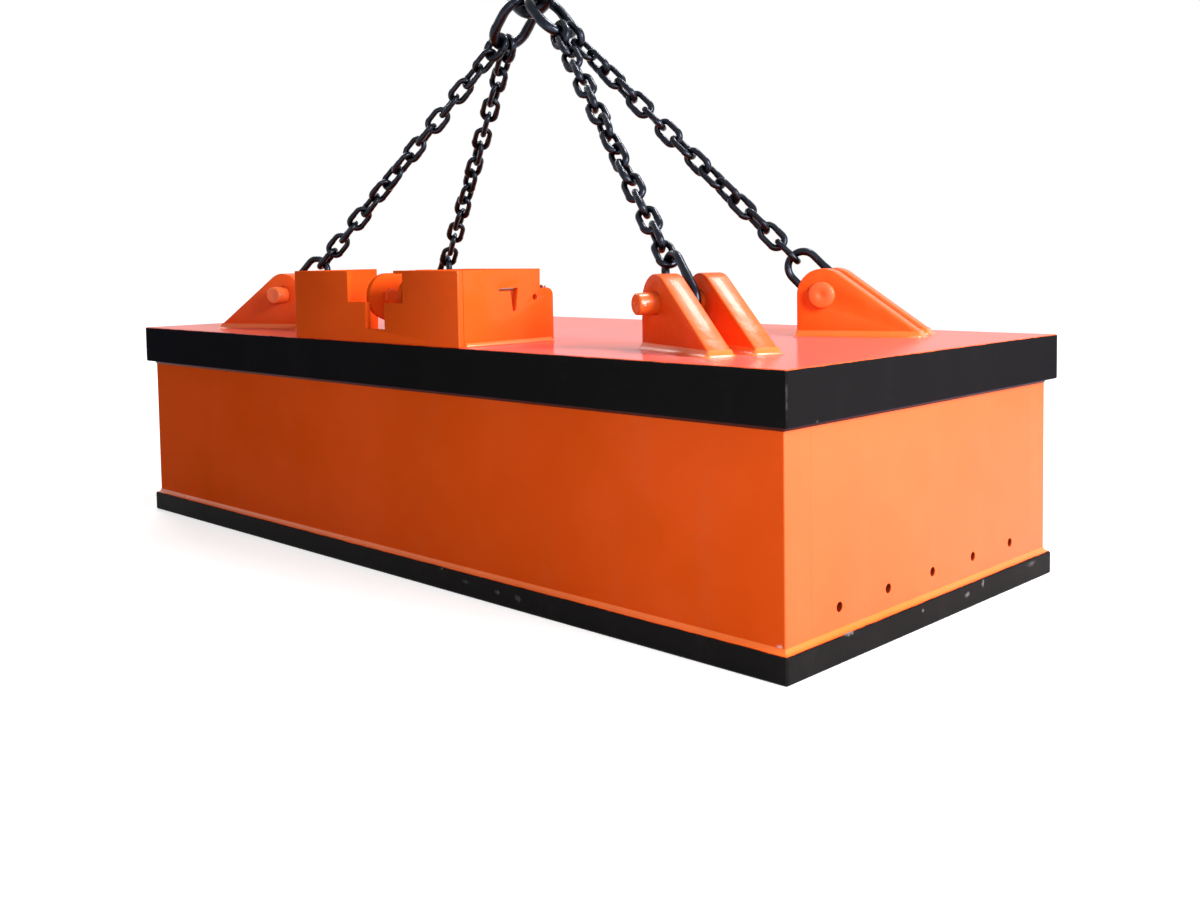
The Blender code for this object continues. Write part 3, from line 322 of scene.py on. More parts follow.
class HeightBand(Effect):
    """A mask between two heights, with a ragged edge."""

    name = "height_band"
    inputs = (("Vector", VECTOR), ("Low", FLOAT), ("High", FLOAT), ("Ragged", FLOAT),
              ("Soft", FLOAT))
    outputs = (("Mask", FLOAT),)

    def fill(self, graph: Graph, taken: Sockets) -> Results:
        """Build the group's inside.

        Args:
            graph: the group's graph.
            taken: the group's inputs.

        Returns:
            Result socket by output name.
        """
        height = graph.add("ShaderNodeSeparateXYZ", None, Vector=taken["Vector"]).outputs[2]
        wander = graph.minus(graph.noise(taken["Vector"], 26.0, 4.0, 0.6), 0.5)
        height = graph.plus(height, graph.times(wander, taken["Ragged"]))
        above = graph.math("DIVIDE", graph.minus(height, taken["Low"]), taken["Soft"])
        below = graph.math("DIVIDE", graph.minus(taken["High"], height), taken["Soft"])
        mask = graph.times(graph.ramp(above, -0.5, 0.5), graph.ramp(below, -0.5, 0.5))
        return {"Mask": mask}


class Chips(Effect):
    """Small sharp-edged places where the paint is knocked off."""

    name = "chips"
    inputs = (("Vector", VECTOR), ("Scale", FLOAT), ("Amount", FLOAT))
    outputs = (("Mask", FLOAT), ("Halo", FLOAT))

    def fill(self, graph: Graph, taken: Sockets) -> Results:
        """Build the group's inside.

        Args:
            graph: the group's graph.
            taken: the group's inputs.

        Returns:
            Result socket by output name.
        """
        places = graph.noise(taken["Vector"], taken["Scale"], 1.0, 0.4)
        finer = graph.times(taken["Scale"], 7.0)
        shape = graph.noise(taken["Vector"], finer, 4.0, 0.7)
        total = graph.plus(places, graph.times(shape, 0.45))
        level = graph.minus(1.15, graph.times(taken["Amount"], 0.45))
        over = graph.minus(total, level)
        return {"Mask": graph.ramp(over, 0.0, 0.012), "Halo": graph.ramp(over, -0.05, 0.0)}


class Scuff(Effect):
    """A rubbed place round one point, streaky and thin at its rim."""

    name = "scuff"
    inputs = (("Vector", VECTOR), ("Middle", VECTOR), ("Reach", VECTOR), ("Strength", FLOAT))
    outputs = (("Mask", FLOAT),)

    def fill(self, graph: Graph, taken: Sockets) -> Results:
        """Build the group's inside.

        Args:
            graph: the group's graph.
            taken: the group's inputs.

        Returns:
            Result socket by output name.
        """
        away = graph.arrow("SUBTRACT", taken["Vector"], taken["Middle"])
        away = graph.arrow("DIVIDE", away, taken["Reach"])
        near = graph.minus(1.0, graph.arrow("LENGTH", away, output=1))
        streaks = graph.noise(graph.stretch(taken["Vector"], (150.0, 150.0, 60.0)), 1.0, 4.0, 0.7)
        rubbed = graph.plus(near, graph.times(streaks, 1.5))
        mask = graph.times(graph.ramp(rubbed, 1.20, 1.70), graph.ramp(near, 0.0, 0.3))
        return {"Mask": graph.times(mask, taken["Strength"])}


class SteelSkin(Effect):
    """Bare or scaled steel: grain along one axis, tarnish in patches and a little rust."""

    name = "steel_skin"
    inputs = (("Vector", VECTOR), ("Grain Vector", VECTOR), ("Colour", COLOUR),
              ("Tarnish Colour", COLOUR), ("Rust Colour", COLOUR), ("Tarnish", FLOAT),
              ("Rust", FLOAT), ("Bright Roughness", FLOAT))
    outputs = (("Colour", COLOUR), ("Roughness", FLOAT), ("Metallic", FLOAT), ("Height", FLOAT))

    def fill(self, graph: Graph, taken: Sockets) -> Results:
        """Build the group's inside.

        Args:
            graph: the group's graph.
            taken: the group's inputs.

        Returns:
            Result socket by output name.
        """
        grain = graph.noise(taken["Grain Vector"], 1.0, 3.0, 0.6)
        patch = graph.noise(taken["Vector"], 24.0, 4.0, 0.65)
        pits = graph.noise(taken["Vector"], 420.0, 3.0, 0.6)
        bloom = graph.noise(taken["Vector"], 11.0, 6.0, 0.7)
        tarnish = graph.times(graph.ramp(patch, 0.35, 0.70), taken["Tarnish"])
        rust = graph.times(graph.ramp(bloom, 0.52, 0.70), taken["Rust"])
        lined = graph.blend(
            graph.ramp(grain, 0.3, 0.7, 0.0, 0.35), taken["Colour"], taken["Tarnish Colour"])
        colour = graph.blend(tarnish, lined, taken["Tarnish Colour"])
        colour = graph.blend(rust, colour, taken["Rust Colour"])
        rough = graph.plus(taken["Bright Roughness"], graph.times(tarnish, 0.22))
        height = graph.plus(graph.times(pits, 0.6), graph.times(grain, 0.5))
        return {
            "Colour": colour,
            "Roughness": graph.lerp(rust, rough, 0.85),
            "Metallic": graph.lerp(rust, 1.0, 0.1),
            "Height": height,
        }


class MaterialGraph(Graph):
    """The graph of one material, with its shader and its Object coordinates."""

    def __init__(self, name: str) -> None:
        """Start a material.

        Args:
            name: the material's name.
        """
        self.material = bpy.data.materials.new(name)
        self.material.use_nodes = True
        super().__init__(self.material.node_tree)
        self.shader = self.tree.nodes["Principled BSDF"]
        self.place = self.add("ShaderNodeTexCoord").outputs["Object"]

    def shade(self, **sockets: object) -> None:
        """Fill sockets of the shader."""
        for name, value in sockets.items():
            self.feed(self.shader.inputs[name.replace("_", " ")], value)

    def emboss(self, height: Socket, strength: float, depth: float) -> None:
        """Feed a height to the shader's normal."""
        bump = self.add("ShaderNodeBump", None, Height=height, Strength=strength, Distance=depth)
        self.shade(Normal=bump.outputs[0])


@dataclass(frozen=True)
class Finish:
    """A finish that becomes a material on first use."""

    name: str
    slot: Slot = field(default=Slot.ENAMEL, kw_only=True)  # the record's material slot that this finish stands for

    def material(self) -> bpy.types.Material:
        """The finish's material.

        Returns:
            The material, with its nodes.
        """
        found = bpy.data.materials.get(self.name)
        if found is None:
            graph = MaterialGraph(self.name)
            self.mix(graph)
            found = graph.material
        return found

    def mix(self, graph: MaterialGraph) -> None:
        """Build the finish's nodes.

        Args:
            graph: the graph of its material.
        """
        raise NotImplementedError


@dataclass(frozen=True)
class WearBand:
    """Chipped paint between two heights."""

    low: float
    high: float
    amount: float  # share that is chipped, 0 to 1
    scale: float  # groups of chips for each metre
    soft: float = 0.010  # height over which the chips thin out


@dataclass(frozen=True)
class Mark:
    """A scuff at one place."""

    middle: Triple
    reach: Triple
    strength: float = 0.8  # share of the paint rubbed off


@dataclass(frozen=True)
class Enamel(Finish):
    """Enamel on steel, in one colour or with a second colour between two heights."""

    colour: Colour
    dusty: Colour = rgb(0.42, 0.20, 0.11)  # the colour of dust and old paint
    second: Colour | None = None  # the other paint, or None
    second_from: float = 0.0  # lowest height of the second paint
    second_to: float = 0.0  # highest height of the second paint
    ragged: float = 0.003  # how far the line between the paints wanders
    tone: float = 0.5
    dust: float = 0.10
    roughness: float = 0.32  # the dry gloss
    coat: float = 0.0  # weight of the wet-looking coat
    second_coat: float = 0.20
    coat_roughness: float = 0.10
    bloom: float = 0.0  # strength of a lilac sheen, a painted reflection that shows where the surface is seen at a low angle
    sheen_reflection_tint: Colour = rgb(1.0, 1.0, 1.0)
    ends_from: float | None = None  # distance of the end faces from their middle, or None
    ends_middle: float = 0.0  # that middle, along the magnet
    ends_coat: float = 0.80  # weight of the coat on the ends
    bore_shade: Colour | None = None  # painted shade inside the holes of an end wall, and on its other faces short of the outer face: a darker colour, or None
    specular: float = 0.0  # strength of the reflections under the coat
    peel: float = 0.0006
    wear: tuple[WearBand, ...] = ()
    marks: tuple[Mark, ...] = ()
    bare: Colour = rgb(0.46, 0.42, 0.39)  # colour under the paint

    def mix(self, graph: MaterialGraph) -> None:
        """Build the finish's nodes.

        Args:
            graph: the graph of its material.
        """
        paint, coat = self.colour, self.coat
        if self.second is not None:
            line = HeightBand().place(
                graph, Vector=graph.place, Low=self.second_from, High=self.second_to,
                Ragged=self.ragged, Soft=0.0008)["Mask"]
            paint = graph.blend(line, self.colour, self.second)
            coat = graph.lerp(line, self.coat, self.second_coat)
        if self.ends_from is not None:
            along = graph.add("ShaderNodeSeparateXYZ", None, Vector=graph.place).outputs[0]
            offset = graph.minus(along, self.ends_middle)
            ends = graph.ramp(
                graph.math("ABSOLUTE", offset), self.ends_from - 0.0030, self.ends_from - 0.0012)
            coat = graph.lerp(ends, coat, self.ends_coat)
            # Painted shade: short of the end faces, inside the holes, the paint is the darker bore
            # colour.
            if self.bore_shade is not None:
                paint = graph.blend(ends, self.bore_shade, paint)
        film = SprayedPaint().place(
            graph, Vector=graph.place, Colour=paint, Dusty_Colour=self.dusty, Tone=self.tone,
            Dust=self.dust, Gloss_Roughness=self.roughness)
        colour, rough, height = film["Colour"], film["Roughness"], film["Height"]
        for band in self.wear:
            zone = HeightBand().place(
                graph, Vector=graph.place, Low=band.low, High=band.high, Ragged=band.soft,
                Soft=band.soft)["Mask"]
            chips = Chips().place(
                graph, Vector=graph.place, Scale=band.scale,
                Amount=graph.times(zone, band.amount))
            halo = graph.times(chips["Halo"], graph.times(zone, 0.35))
            colour = graph.blend(halo, colour, self.dusty)
            mask = graph.times(chips["Mask"], zone)
            colour = graph.blend(mask, colour, self.bare)
            rough = graph.lerp(mask, rough, 0.55)
            height = graph.minus(height, graph.times(mask, 0.6))
            coat = graph.lerp(mask, coat, 0.0)
        for mark in self.marks:
            scuff = Scuff().place(
                graph, Vector=graph.place, Middle=mark.middle, Reach=mark.reach,
                Strength=mark.strength)["Mask"]
            colour = graph.blend(scuff, colour, self.bare)
            rough = graph.lerp(scuff, rough, 0.6)
        graph.shade(
            Base_Color=colour, Roughness=rough, Coat_Weight=coat,
            Coat_Roughness=self.coat_roughness, Specular_IOR_Level=self.specular,
            Sheen_Weight=self.bloom, Sheen_Roughness=0.30, Sheen_Tint=self.sheen_reflection_tint)
        graph.emboss(height, 0.6, self.peel)


@dataclass(frozen=True)
class Steel(Finish):
    """Bare, blackened or plated metal."""

    colour: Colour
    tarnish_colour: Colour  # where it is dull
    tarnish: float = 0.6  # strength of the dull patches
    rust: float = 0.0
    roughness: float = 0.35
    grain: Triple = (60.0, 60.0, 60.0)  # grain cells for each metre, by axis
    relief: float = 0.0003  # depth of the grain and pits
    oil: float = 0.0  # weight of a coat of oil or lacquer

    def mix(self, graph: MaterialGraph) -> None:
        """Build the finish's nodes.

        Args:
            graph: the graph of its material.
        """
        skin = SteelSkin().place(
            graph, Vector=graph.place, Grain_Vector=graph.stretch(graph.place, self.grain),
            Colour=self.colour, Tarnish_Colour=self.tarnish_colour,
            Rust_Colour=rgb(0.21, 0.075, 0.028), Tarnish=self.tarnish, Rust=self.rust,
            Bright_Roughness=self.roughness)
        graph.shade(Base_Color=skin["Colour"], Roughness=skin["Roughness"],
                    Metallic=skin["Metallic"], Coat_Weight=self.oil, Coat_Roughness=0.12)
        graph.emboss(skin["Height"], 0.7, self.relief)


@dataclass(frozen=True)
class Laminate(Finish):
    """Glass laminate board or varnished sleeving, with a fine cross weave."""

    colour: Colour
    thread: Colour
    pitch: float = 900.0
    roughness: float = 0.45

    def mix(self, graph: MaterialGraph) -> None:
        """Build the finish's nodes.

        Args:
            graph: the graph of its material.
        """
        weave = 1.0
        for direction in ("X", "Y", "Z"):
            wave = graph.add(
                "ShaderNodeTexWave", {"bands_direction": direction}, Vector=graph.place,
                Scale=self.pitch / 20.0, Distortion=0.6)
            weave = graph.times(weave, wave.outputs[1])
        cloud = graph.noise(graph.place, 14.0, 3.0)
        cloudy = graph.ramp(cloud, 0.3, 0.7, 0.0, 0.4)
        shade = graph.plus(graph.times(weave, 0.6), cloudy)
        graph.shade(Base_Color=graph.blend(shade, self.colour, self.thread),
                    Roughness=graph.ramp(cloud, 0.3, 0.7, self.roughness, self.roughness + 0.15))
        graph.emboss(weave, 0.5, 0.0003)


WHITE = rgb(1.0, 1.0, 1.0)
ORANGE = rgb(0.800, 0.092, 0.012)
BLACK = rgb(0.0090, 0.0084, 0.0086)
WORN_BLACK = rgb(0.085, 0.082, 0.080)


@dataclass(frozen=True)
class Finishes:
    """Every finish on the magnet."""

    lugs: Enamel = Enamel(
        "lug_enamel", ORANGE, tone=0.35, coat=0.055, specular=0.10, peel=0.0050)
    box: Enamel = Enamel(
        "box_enamel", ORANGE, tone=0.40, ends_from=0.3545, ends_middle=-0.0175, ends_coat=0.35)
    # Painted shade: the terminal box and its cover are a darker orange that stands in for the shade
    # inside the guard.
    inside: Enamel = Enamel(
        "box_inside_shade_enamel", rgb(0.30, 0.036, 0.006), dust=0.2, specular=0.20)
    bolts: Enamel = Enamel(
        "painted_bolt_enamel", ORANGE, dust=0.15, coat=0.30, specular=0.30, peel=0.0010,
        slot=Slot.ZINC)
    walls: Enamel = Enamel(
        "wall_enamel", ORANGE, tone=0.45, ends_from=1.260, ends_coat=0.60,
        bare=rgb(0.80, 0.72, 0.66), wear=(WearBand(0.050, 0.105, 0.18, 5.0, 0.020),),
        marks=(Mark((1.248, -0.543, 0.070), (0.016, 0.020, 0.012)),))
    # The end walls carry painted shade: a dark red-brown inside their holes.
    end_walls: Enamel = replace(
        walls, name="end_wall_enamel", bore_shade=rgb(0.17, 0.020, 0.006),
        marks=(Mark((1.260, -0.520, 0.072), (0.020, 0.014, 0.014), 0.5),))
    # Painted reflection: a lilac sheen on the deck, strongest where the deck is seen at a low
    # angle.
    deck: Enamel = Enamel(
        "deck_enamel", BLACK, second=ORANGE, second_from=0.5985, second_to=0.70,
        dusty=rgb(0.030, 0.028, 0.028), dust=0.15, roughness=0.34, second_coat=0.52,
        coat_roughness=0.16, bloom=0.14, sheen_reflection_tint=rgb(0.36, 0.36, 0.85), bare=WORN_BLACK,
        wear=(WearBand(0.484, 0.512, 0.10, 7.0),),
        marks=(Mark((1.283, -0.566, 0.545), (0.007, 0.007, 0.085), 0.6),
               Mark((1.283, 0.566, 0.550), (0.006, 0.006, 0.075), 0.6),
               Mark((-1.283, -0.566, 0.540), (0.006, 0.006, 0.075), 0.6),
               Mark((-1.283, 0.566, 0.550), (0.006, 0.006, 0.080), 0.6),
               Mark((1.283, -0.470, 0.494), (0.010, 0.012, 0.008), 0.6)))
    rim: Enamel = Enamel(
        "rim_enamel", BLACK, second=ORANGE, second_from=0.0562, second_to=0.09,
        dusty=rgb(0.045, 0.036, 0.036), tone=0.6, dust=0.25, roughness=0.45, specular=0.02,
        bare=rgb(0.150, 0.140, 0.145),
        wear=(WearBand(0.030, 0.060, 0.20, 4.5), WearBand(0.000, 0.022, 0.16, 6.0)),
        marks=(Mark((1.2735, -0.345, 0.056), (0.020, 0.045, 0.012)),
               Mark((1.2735, -0.065, 0.040), (0.020, 0.012, 0.008)),
               Mark((1.2735, 0.130, 0.034), (0.020, 0.028, 0.012)),
               Mark((1.2735, 0.205, 0.046), (0.020, 0.014, 0.022)),
               Mark((1.2735, 0.450, 0.044), (0.020, 0.050, 0.014), 0.4),
               Mark((1.2735, -0.5565, 0.057), (0.010, 0.010, 0.008), 1.0),
               Mark((0.330, -0.5565, 0.036), (0.035, 0.020, 0.010), 0.30),
               Mark((0.445, -0.5565, 0.032), (0.020, 0.020, 0.012), 0.45),
               Mark((0.520, -0.5565, 0.030), (0.035, 0.020, 0.016), 0.40)))
    # Painted shadow: the weld under the yoke plate's overhang is a dark red-brown that stands in
    # for the shade beneath the overhang.
    seam: Enamel = Enamel(
        "under_yoke_shadow_enamel", rgb(0.070, 0.012, 0.006), specular=0.05, slot=Slot.BLACK)
    # Painted highlight: the welds are a lighter orange than the walls, standing in for the light
    # their beads catch; the rim weld is lighter still.
    welds: Enamel = Enamel(
        "weld_enamel", rgb(0.82, 0.145, 0.026), roughness=0.30, coat=0.06, specular=0.30,
        peel=0.0016)
    rim_weld: Enamel = replace(
        welds, name="rim_weld_enamel", colour=rgb(0.90, 0.170, 0.030), coat=0.16)
    pins: Enamel = Enamel(
        "pin_enamel", rgb(0.76, 0.125, 0.030), tone=0.6, dust=0.30, roughness=0.34, coat=0.20,
        specular=0.30, peel=0.0008)
    chain: Steel = Steel(
        "chain_black", rgb(0.022, 0.026, 0.038), rgb(0.005, 0.006, 0.009), tarnish=0.75,
        roughness=0.24, relief=0.0009, oil=0.12, slot=Slot.CHAIN)
    zinc: Steel = Steel(
        "zinc_plate", rgb(0.56, 0.55, 0.51), rgb(0.30, 0.29, 0.26), tarnish=0.5, roughness=0.30,
        slot=Slot.ZINC)
    brass: Steel = Steel(
        "brass", rgb(0.70, 0.50, 0.21), rgb(0.34, 0.22, 0.09), tarnish=0.5, roughness=0.28,
        slot=Slot.BRASS)
    pole: Steel = Steel(
        "pole_steel", rgb(0.40, 0.39, 0.38), rgb(0.19, 0.18, 0.17), tarnish=0.6, rust=0.35,
        roughness=0.34, grain=(6.0, 260.0, 60.0), relief=0.0005)
    closing: Steel = Steel(
        "closing_plate", rgb(0.30, 0.29, 0.27), rgb(0.13, 0.12, 0.11), tarnish=0.8, rust=0.45,
        roughness=0.42, grain=(240.0, 5.0, 60.0), relief=0.0006)
    core: Steel = Steel(
        "core_steel", rgb(0.24, 0.23, 0.22), rgb(0.11, 0.10, 0.10), tarnish=0.6, roughness=0.45,
        grain=(8.0, 120.0, 120.0))
    copper: Steel = Steel(
        "coil_copper", rgb(0.66, 0.26, 0.12), rgb(0.30, 0.10, 0.045), tarnish=0.5, roughness=0.30,
        grain=(3.0, 3.0, 320.0), relief=0.0010, oil=0.4)
    board: Laminate = Laminate("glass_laminate", rgb(0.36, 0.27, 0.10), rgb(0.50, 0.42, 0.22))
    sleeving: Laminate = Laminate(
        "varnished_sleeving", rgb(0.26, 0.025, 0.018), rgb(0.40, 0.07, 0.04), pitch=1400.0)


# Mesh building


def placed(name: str, data: object) -> bpy.types.Object:
    """Add an object to the scene.

    Args:
        name: the object's name.
        data: its mesh, camera or lamp.

    Returns:
        The object.
    """
    made = bpy.data.objects.new(name, data)
    bpy.context.scene.collection.objects.link(made)
    return made


def to_object(name: str, bm: BMesh, finish: Finish, nodes: Sequence[str] = ()) -> None:
    """Turn a finished bmesh into a piece that rides on the magnet.

    Args:
        name: the piece's name.
        bm: its mesh, which is freed.
        finish: what it is coated with.
        nodes: nodes of the frame that it stands for.
    """
    bmesh.ops.recalc_face_normals(bm, faces=bm.faces)
    mesh = bpy.data.meshes.new(name)
    bm.to_mesh(mesh)
    bm.free()
    mesh.polygons.foreach_set("use_smooth", [True] * len(mesh.polygons))
    mesh.set_sharp_from_angle(angle=SMOOTH_ANGLE)
    mesh.materials.append(finish.material())
    piece = placed(name, mesh)
    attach(piece, ROOT)
    if nodes:
        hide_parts(*nodes)
    log.info("%s: %d faces", name, len(mesh.polygons))


def stand_in(prefix: str, node: str, bm: BMesh, finish: Finish) -> None:
    """Turn a finished bmesh into the piece that stands for one node of the frame."""
    to_object(f"{prefix}_{node}", bm, finish, [node])


def absorb(bm: BMesh, other: BMesh) -> None:
    """Add one mesh to another.

    Args:
        bm: the mesh that grows.
        other: the mesh that is added, which is freed.
    """
    mesh = bpy.data.meshes.new("absorbed")
    other.to_mesh(mesh)
    other.free()
    bm.from_mesh(mesh)
    bpy.data.meshes.remove(mesh)


def axes_at(origin: Vector, x_axis: Vector, y_axis: Vector) -> Matrix:
    """A place and direction as a matrix.

    Args:
        origin: the place.
        x_axis: direction of the local X.
        y_axis: direction of the local Y, square to x_axis.

    Returns:
        The matrix.
    """
    z_axis = x_axis.cross(y_axis)
    axes = Matrix((x_axis, y_axis, z_axis)).transposed().to_4x4()
    return Matrix.Translation(origin) @ axes


def round_edges(bm: BMesh, width: float, segments: int = 3,
                angle: float = math.radians(30.0)) -> None:
    """Round every edge where the faces meet at more than an angle.

    Args:
        bm: the mesh.
        width: radius of the rounding.
        segments: faces across it.
        angle: sharper bends than this are rounded.
    """
    sharp = [e for e in bm.edges if len(e.link_faces) == 2 and e.calc_face_angle(0.0) > angle]
    bmesh.ops.bevel(
        bm, geom=sharp, offset=width, offset_type="OFFSET", affect="EDGES", segments=segments,
        profile=0.5, material=-1, clamp_overlap=True)


def kind_of(geometry: Iterable[object], kind: type) -> list:
    """The elements of one kind, BMVert or BMEdge, in an operator's result."""
    return [part for part in geometry if isinstance(part, kind)]


def drawn_circle(bm: BMesh, sides: int, diameter: float, place: Matrix) -> list[BMEdge]:
    """Draw a circle.

    Args:
        bm: mesh to draw in.
        sides: of the circle.
        diameter: of the circle.
        place: its middle, with local Z square to it.

    Returns:
        The circle's edges.
    """
    made = bmesh.ops.create_circle(
        bm, cap_ends=False, segments=sides, radius=diameter / 2, matrix=place)
    return list(dict.fromkeys(e for v in made["verts"] for e in v.link_edges))


def swept(bm: BMesh, geometry: list, centre: Sequence[float], angle: float, steps: int,
          merge: bool = False) -> list:
    """Sweep geometry about an upright axis.

    Args:
        bm: the mesh.
        geometry: what is swept.
        centre: a point on the axis.
        angle: counter-clockwise.
        steps: in that angle.
        merge: whether the last step joins the first.

    Returns:
        The geometry at the far end.
    """
    return bmesh.ops.spin(
        bm, geom=geometry, cent=centre, axis=UP, dvec=(0.0, 0.0, 0.0), angle=angle, steps=steps,
        use_merge=merge, use_duplicate=False)["geom_last"]


@dataclass(frozen=True)
class Line:
    """A straight stretch of an outline, up to a point."""

    x: float
    y: float


@dataclass(frozen=True)
class Turn:
    """A round stretch of an outline, about a centre, counter-clockwise by an angle."""

    x: float
    y: float
    angle: float
    steps: int


def outline(bm: BMesh, start: tuple[float, float],
            stretches: Sequence[Line | Turn]) -> list[BMEdge]:
    """Draw one closed outline in the XY plane.

    Args:
        bm: mesh to draw in.
        start: the first point.
        stretches: lines and turns, back to the first point.

    Returns:
        The outline's edges.
    """
    before = set(bm.edges)
    first = bm.verts.new((*start, 0.0))
    tip = first
    for stretch in stretches:
        if isinstance(stretch, Turn):
            middle = (stretch.x, stretch.y, 0.0)
            tip = kind_of(swept(bm, [tip], middle, stretch.angle, stretch.steps), BMVert)[0]
        else:
            point = bm.verts.new((stretch.x, stretch.y, 0.0))
            bm.edges.new((tip, point))
            tip = point
    if (tip.co - first.co).length < 1e-6:
        bmesh.ops.pointmerge(bm, verts=[tip, first], merge_co=first.co)
    else:
        bm.edges.new((tip, first))
    return [e for e in bm.edges if e not in before]


def plate(start: tuple[float, float], stretches: Sequence[Line | Turn], thickness: float,
          edge: float, holes: Sequence[Triple] = ()) -> BMesh:
    """A flat plate about the XY plane with round edges and drilled holes.

    Args:
        start: first point of the outline.
        stretches: the outline's lines and turns.
        thickness: of the plate.
        edge: radius of its edges.
        holes: middle and diameter of each hole.

    Returns:
        The plate's mesh.
    """
    bm = bmesh.new()
    edges = outline(bm, start, stretches)
    for x, y, diameter in holes:
        edges += drawn_circle(bm, HOLE_SIDES, diameter, Matrix.Translation((x, y, 0.0)))
    bmesh.ops.triangle_fill(
        bm, edges=list(dict.fromkeys(edges)), use_beauty=True, use_dissolve=True)
    lifted = bmesh.ops.extrude_face_region(bm, geom=bm.faces[:])["geom"]
    bmesh.ops.translate(bm, verts=kind_of(lifted, BMVert), vec=(0.0, 0.0, thickness))
    bmesh.ops.translate(bm, verts=bm.verts, vec=(0.0, 0.0, -thickness / 2))
    bmesh.ops.recalc_face_normals(bm, faces=bm.faces)
    round_edges(bm, edge, angle=math.radians(50.0))
    return bm


def turned(profile: Sequence[tuple[float, float]], steps: int) -> BMesh:
    """A turned piece about the local Z axis.

    Args:
        profile: (radius, height) points from the axis round to the axis, or a closed ring.
        steps: sides round the axis.

    Returns:
        The piece's mesh.
    """
    bm = bmesh.new()
    points = [bm.verts.new((radius, 0.0, height)) for radius, height in profile]
    edges = [bm.edges.new(pair) for pair in zip(points, points[1:])]
    if profile[0][0] > 0.0:
        edges.append(bm.edges.new((points[-1], points[0])))
    swept(bm, [*points, *edges], (0.0, 0.0, 0.0), math.tau, steps, merge=True)
    bmesh.ops.remove_doubles(bm, verts=bm.verts, dist=1e-6)
    return bm


class Wire:
    """A round wire laid in the local XY plane by straight runs and bends."""

    def __init__(self, diameter: float, sides: int, start: Vector) -> None:
        """Start the wire with its first section, heading along X.

        Args:
            diameter: of the wire.
            sides: of its section.
            start: first point of its middle line.
        """
        self.bm = bmesh.new()
        self.point = start
        self.heading = 0.0
        facing = Matrix.Rotation(math.pi / 2, 4, "Y")
        self.ring = drawn_circle(self.bm, sides, diameter, Matrix.Translation(start) @ facing)

    def run(self, length: float, steps: int = 1) -> None:
        """Lay a straight run.

        Args:
            length: of the run.
            steps: rings along it.
        """
        step = Vector((math.cos(self.heading), math.sin(self.heading), 0.0)) * (length / steps)
        for _ in range(steps):
            made = bmesh.ops.extrude_edge_only(self.bm, edges=self.ring)["geom"]
            verts = kind_of(made, BMVert)
            bmesh.ops.translate(self.bm, verts=verts, vec=step)
            self.ring = [e for e in kind_of(made, BMEdge) if all(v in verts for v in e.verts)]
            self.point = self.point + step

    def bend(self, radius: float, angle: float, steps: int) -> None:
        """Lay a bend to the left.

        Args:
            radius: of the middle line.
            angle: that it turns by.
            steps: rings along it.
        """
        aside = Vector((-math.sin(self.heading), math.cos(self.heading), 0.0))
        centre = self.point + aside * radius
        self.ring = kind_of(swept(self.bm, self.ring, centre, angle, steps), BMEdge)
        self.point = centre + Matrix.Rotation(angle, 3, "Z") @ (self.point - centre)
        self.heading += angle

    def swell(self, factor: float) -> None:
        """Make the wire thicker by a factor, from its last ring on."""
        verts = list({v for e in self.ring for v in e.verts})
        bmesh.ops.scale(
            self.bm, verts=verts, vec=(factor,) * 3, space=Matrix.Translation(-self.point))


@dataclass(frozen=True)
class Link:
    """A closed link of round bar about the origin, long in X and wide in Y."""

    wire: float  # diameter of the bar
    length: float  # of the opening
    width: float  # of the opening
    sides: int  # of the bar's section
    steps: int  # rings in each bow
    weld: float = 1.0  # how much thicker the bar is from its butt weld on

    @property
    def reach(self) -> float:
        """The bar's middle in a bow, from the link's middle."""
        return (self.length + self.wire) / 2

    def mesh(self) -> BMesh:
        """Lay the bar.

        Returns:
            The link's mesh.
        """
        radius = (self.width + self.wire) / 2
        straight = 2 * (self.reach - radius)
        shoulder = straight * 0.36
        bar = Wire(self.wire, self.sides, Vector((-straight / 2, -radius, 0.0)))
        bar.run(straight, 3)
        bar.bend(radius, math.pi, self.steps)
        bar.run(shoulder)
        bar.run(straight / 2 - shoulder)
        bar.swell(self.weld)
        bar.run(straight / 2 - shoulder)
        bar.run(shoulder)
        bar.bend(radius, math.pi, self.steps)
        bmesh.ops.remove_doubles(bar.bm, verts=bar.bm.verts, dist=1e-5)
        return bar.bm


def copies(template: BMesh, places: Iterable[Matrix]) -> BMesh:
    """One mesh with a copy of a template at each place.

    Args:
        template: the mesh that is copied, which is freed.
        places: a matrix for each copy.

    Returns:
        The joined mesh.
    """
    mesh = bpy.data.meshes.new("template")
    template.to_mesh(mesh)
    template.free()
    bm = bmesh.new()
    for place in places:
        start = len(bm.verts)
        bm.from_mesh(mesh)
        bm.verts.ensure_lookup_table()
        bmesh.ops.transform(bm, matrix=place, verts=bm.verts[start:])
    bpy.data.meshes.remove(mesh)
    return bm


def softened(node: str, edge: float, segments: int = 3) -> BMesh:
    """A copy of a frame node with its doubles merged and its edges rounded.

    Args:
        node: name of the node.
        edge: radius of the rounding.
        segments: faces across it.

    Returns:
        The copy's mesh.
    """
    bm = bmesh.new()
    bm.from_mesh(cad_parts[node].data)
    bmesh.ops.remove_doubles(bm, verts=bm.verts, dist=1e-5)
    bmesh.ops.dissolve_limit(
        bm, angle_limit=math.radians(1.0), use_dissolve_boundaries=False, verts=bm.verts,
        edges=bm.edges)
    round_edges(bm, edge, segments, math.radians(40.0))
    return bm


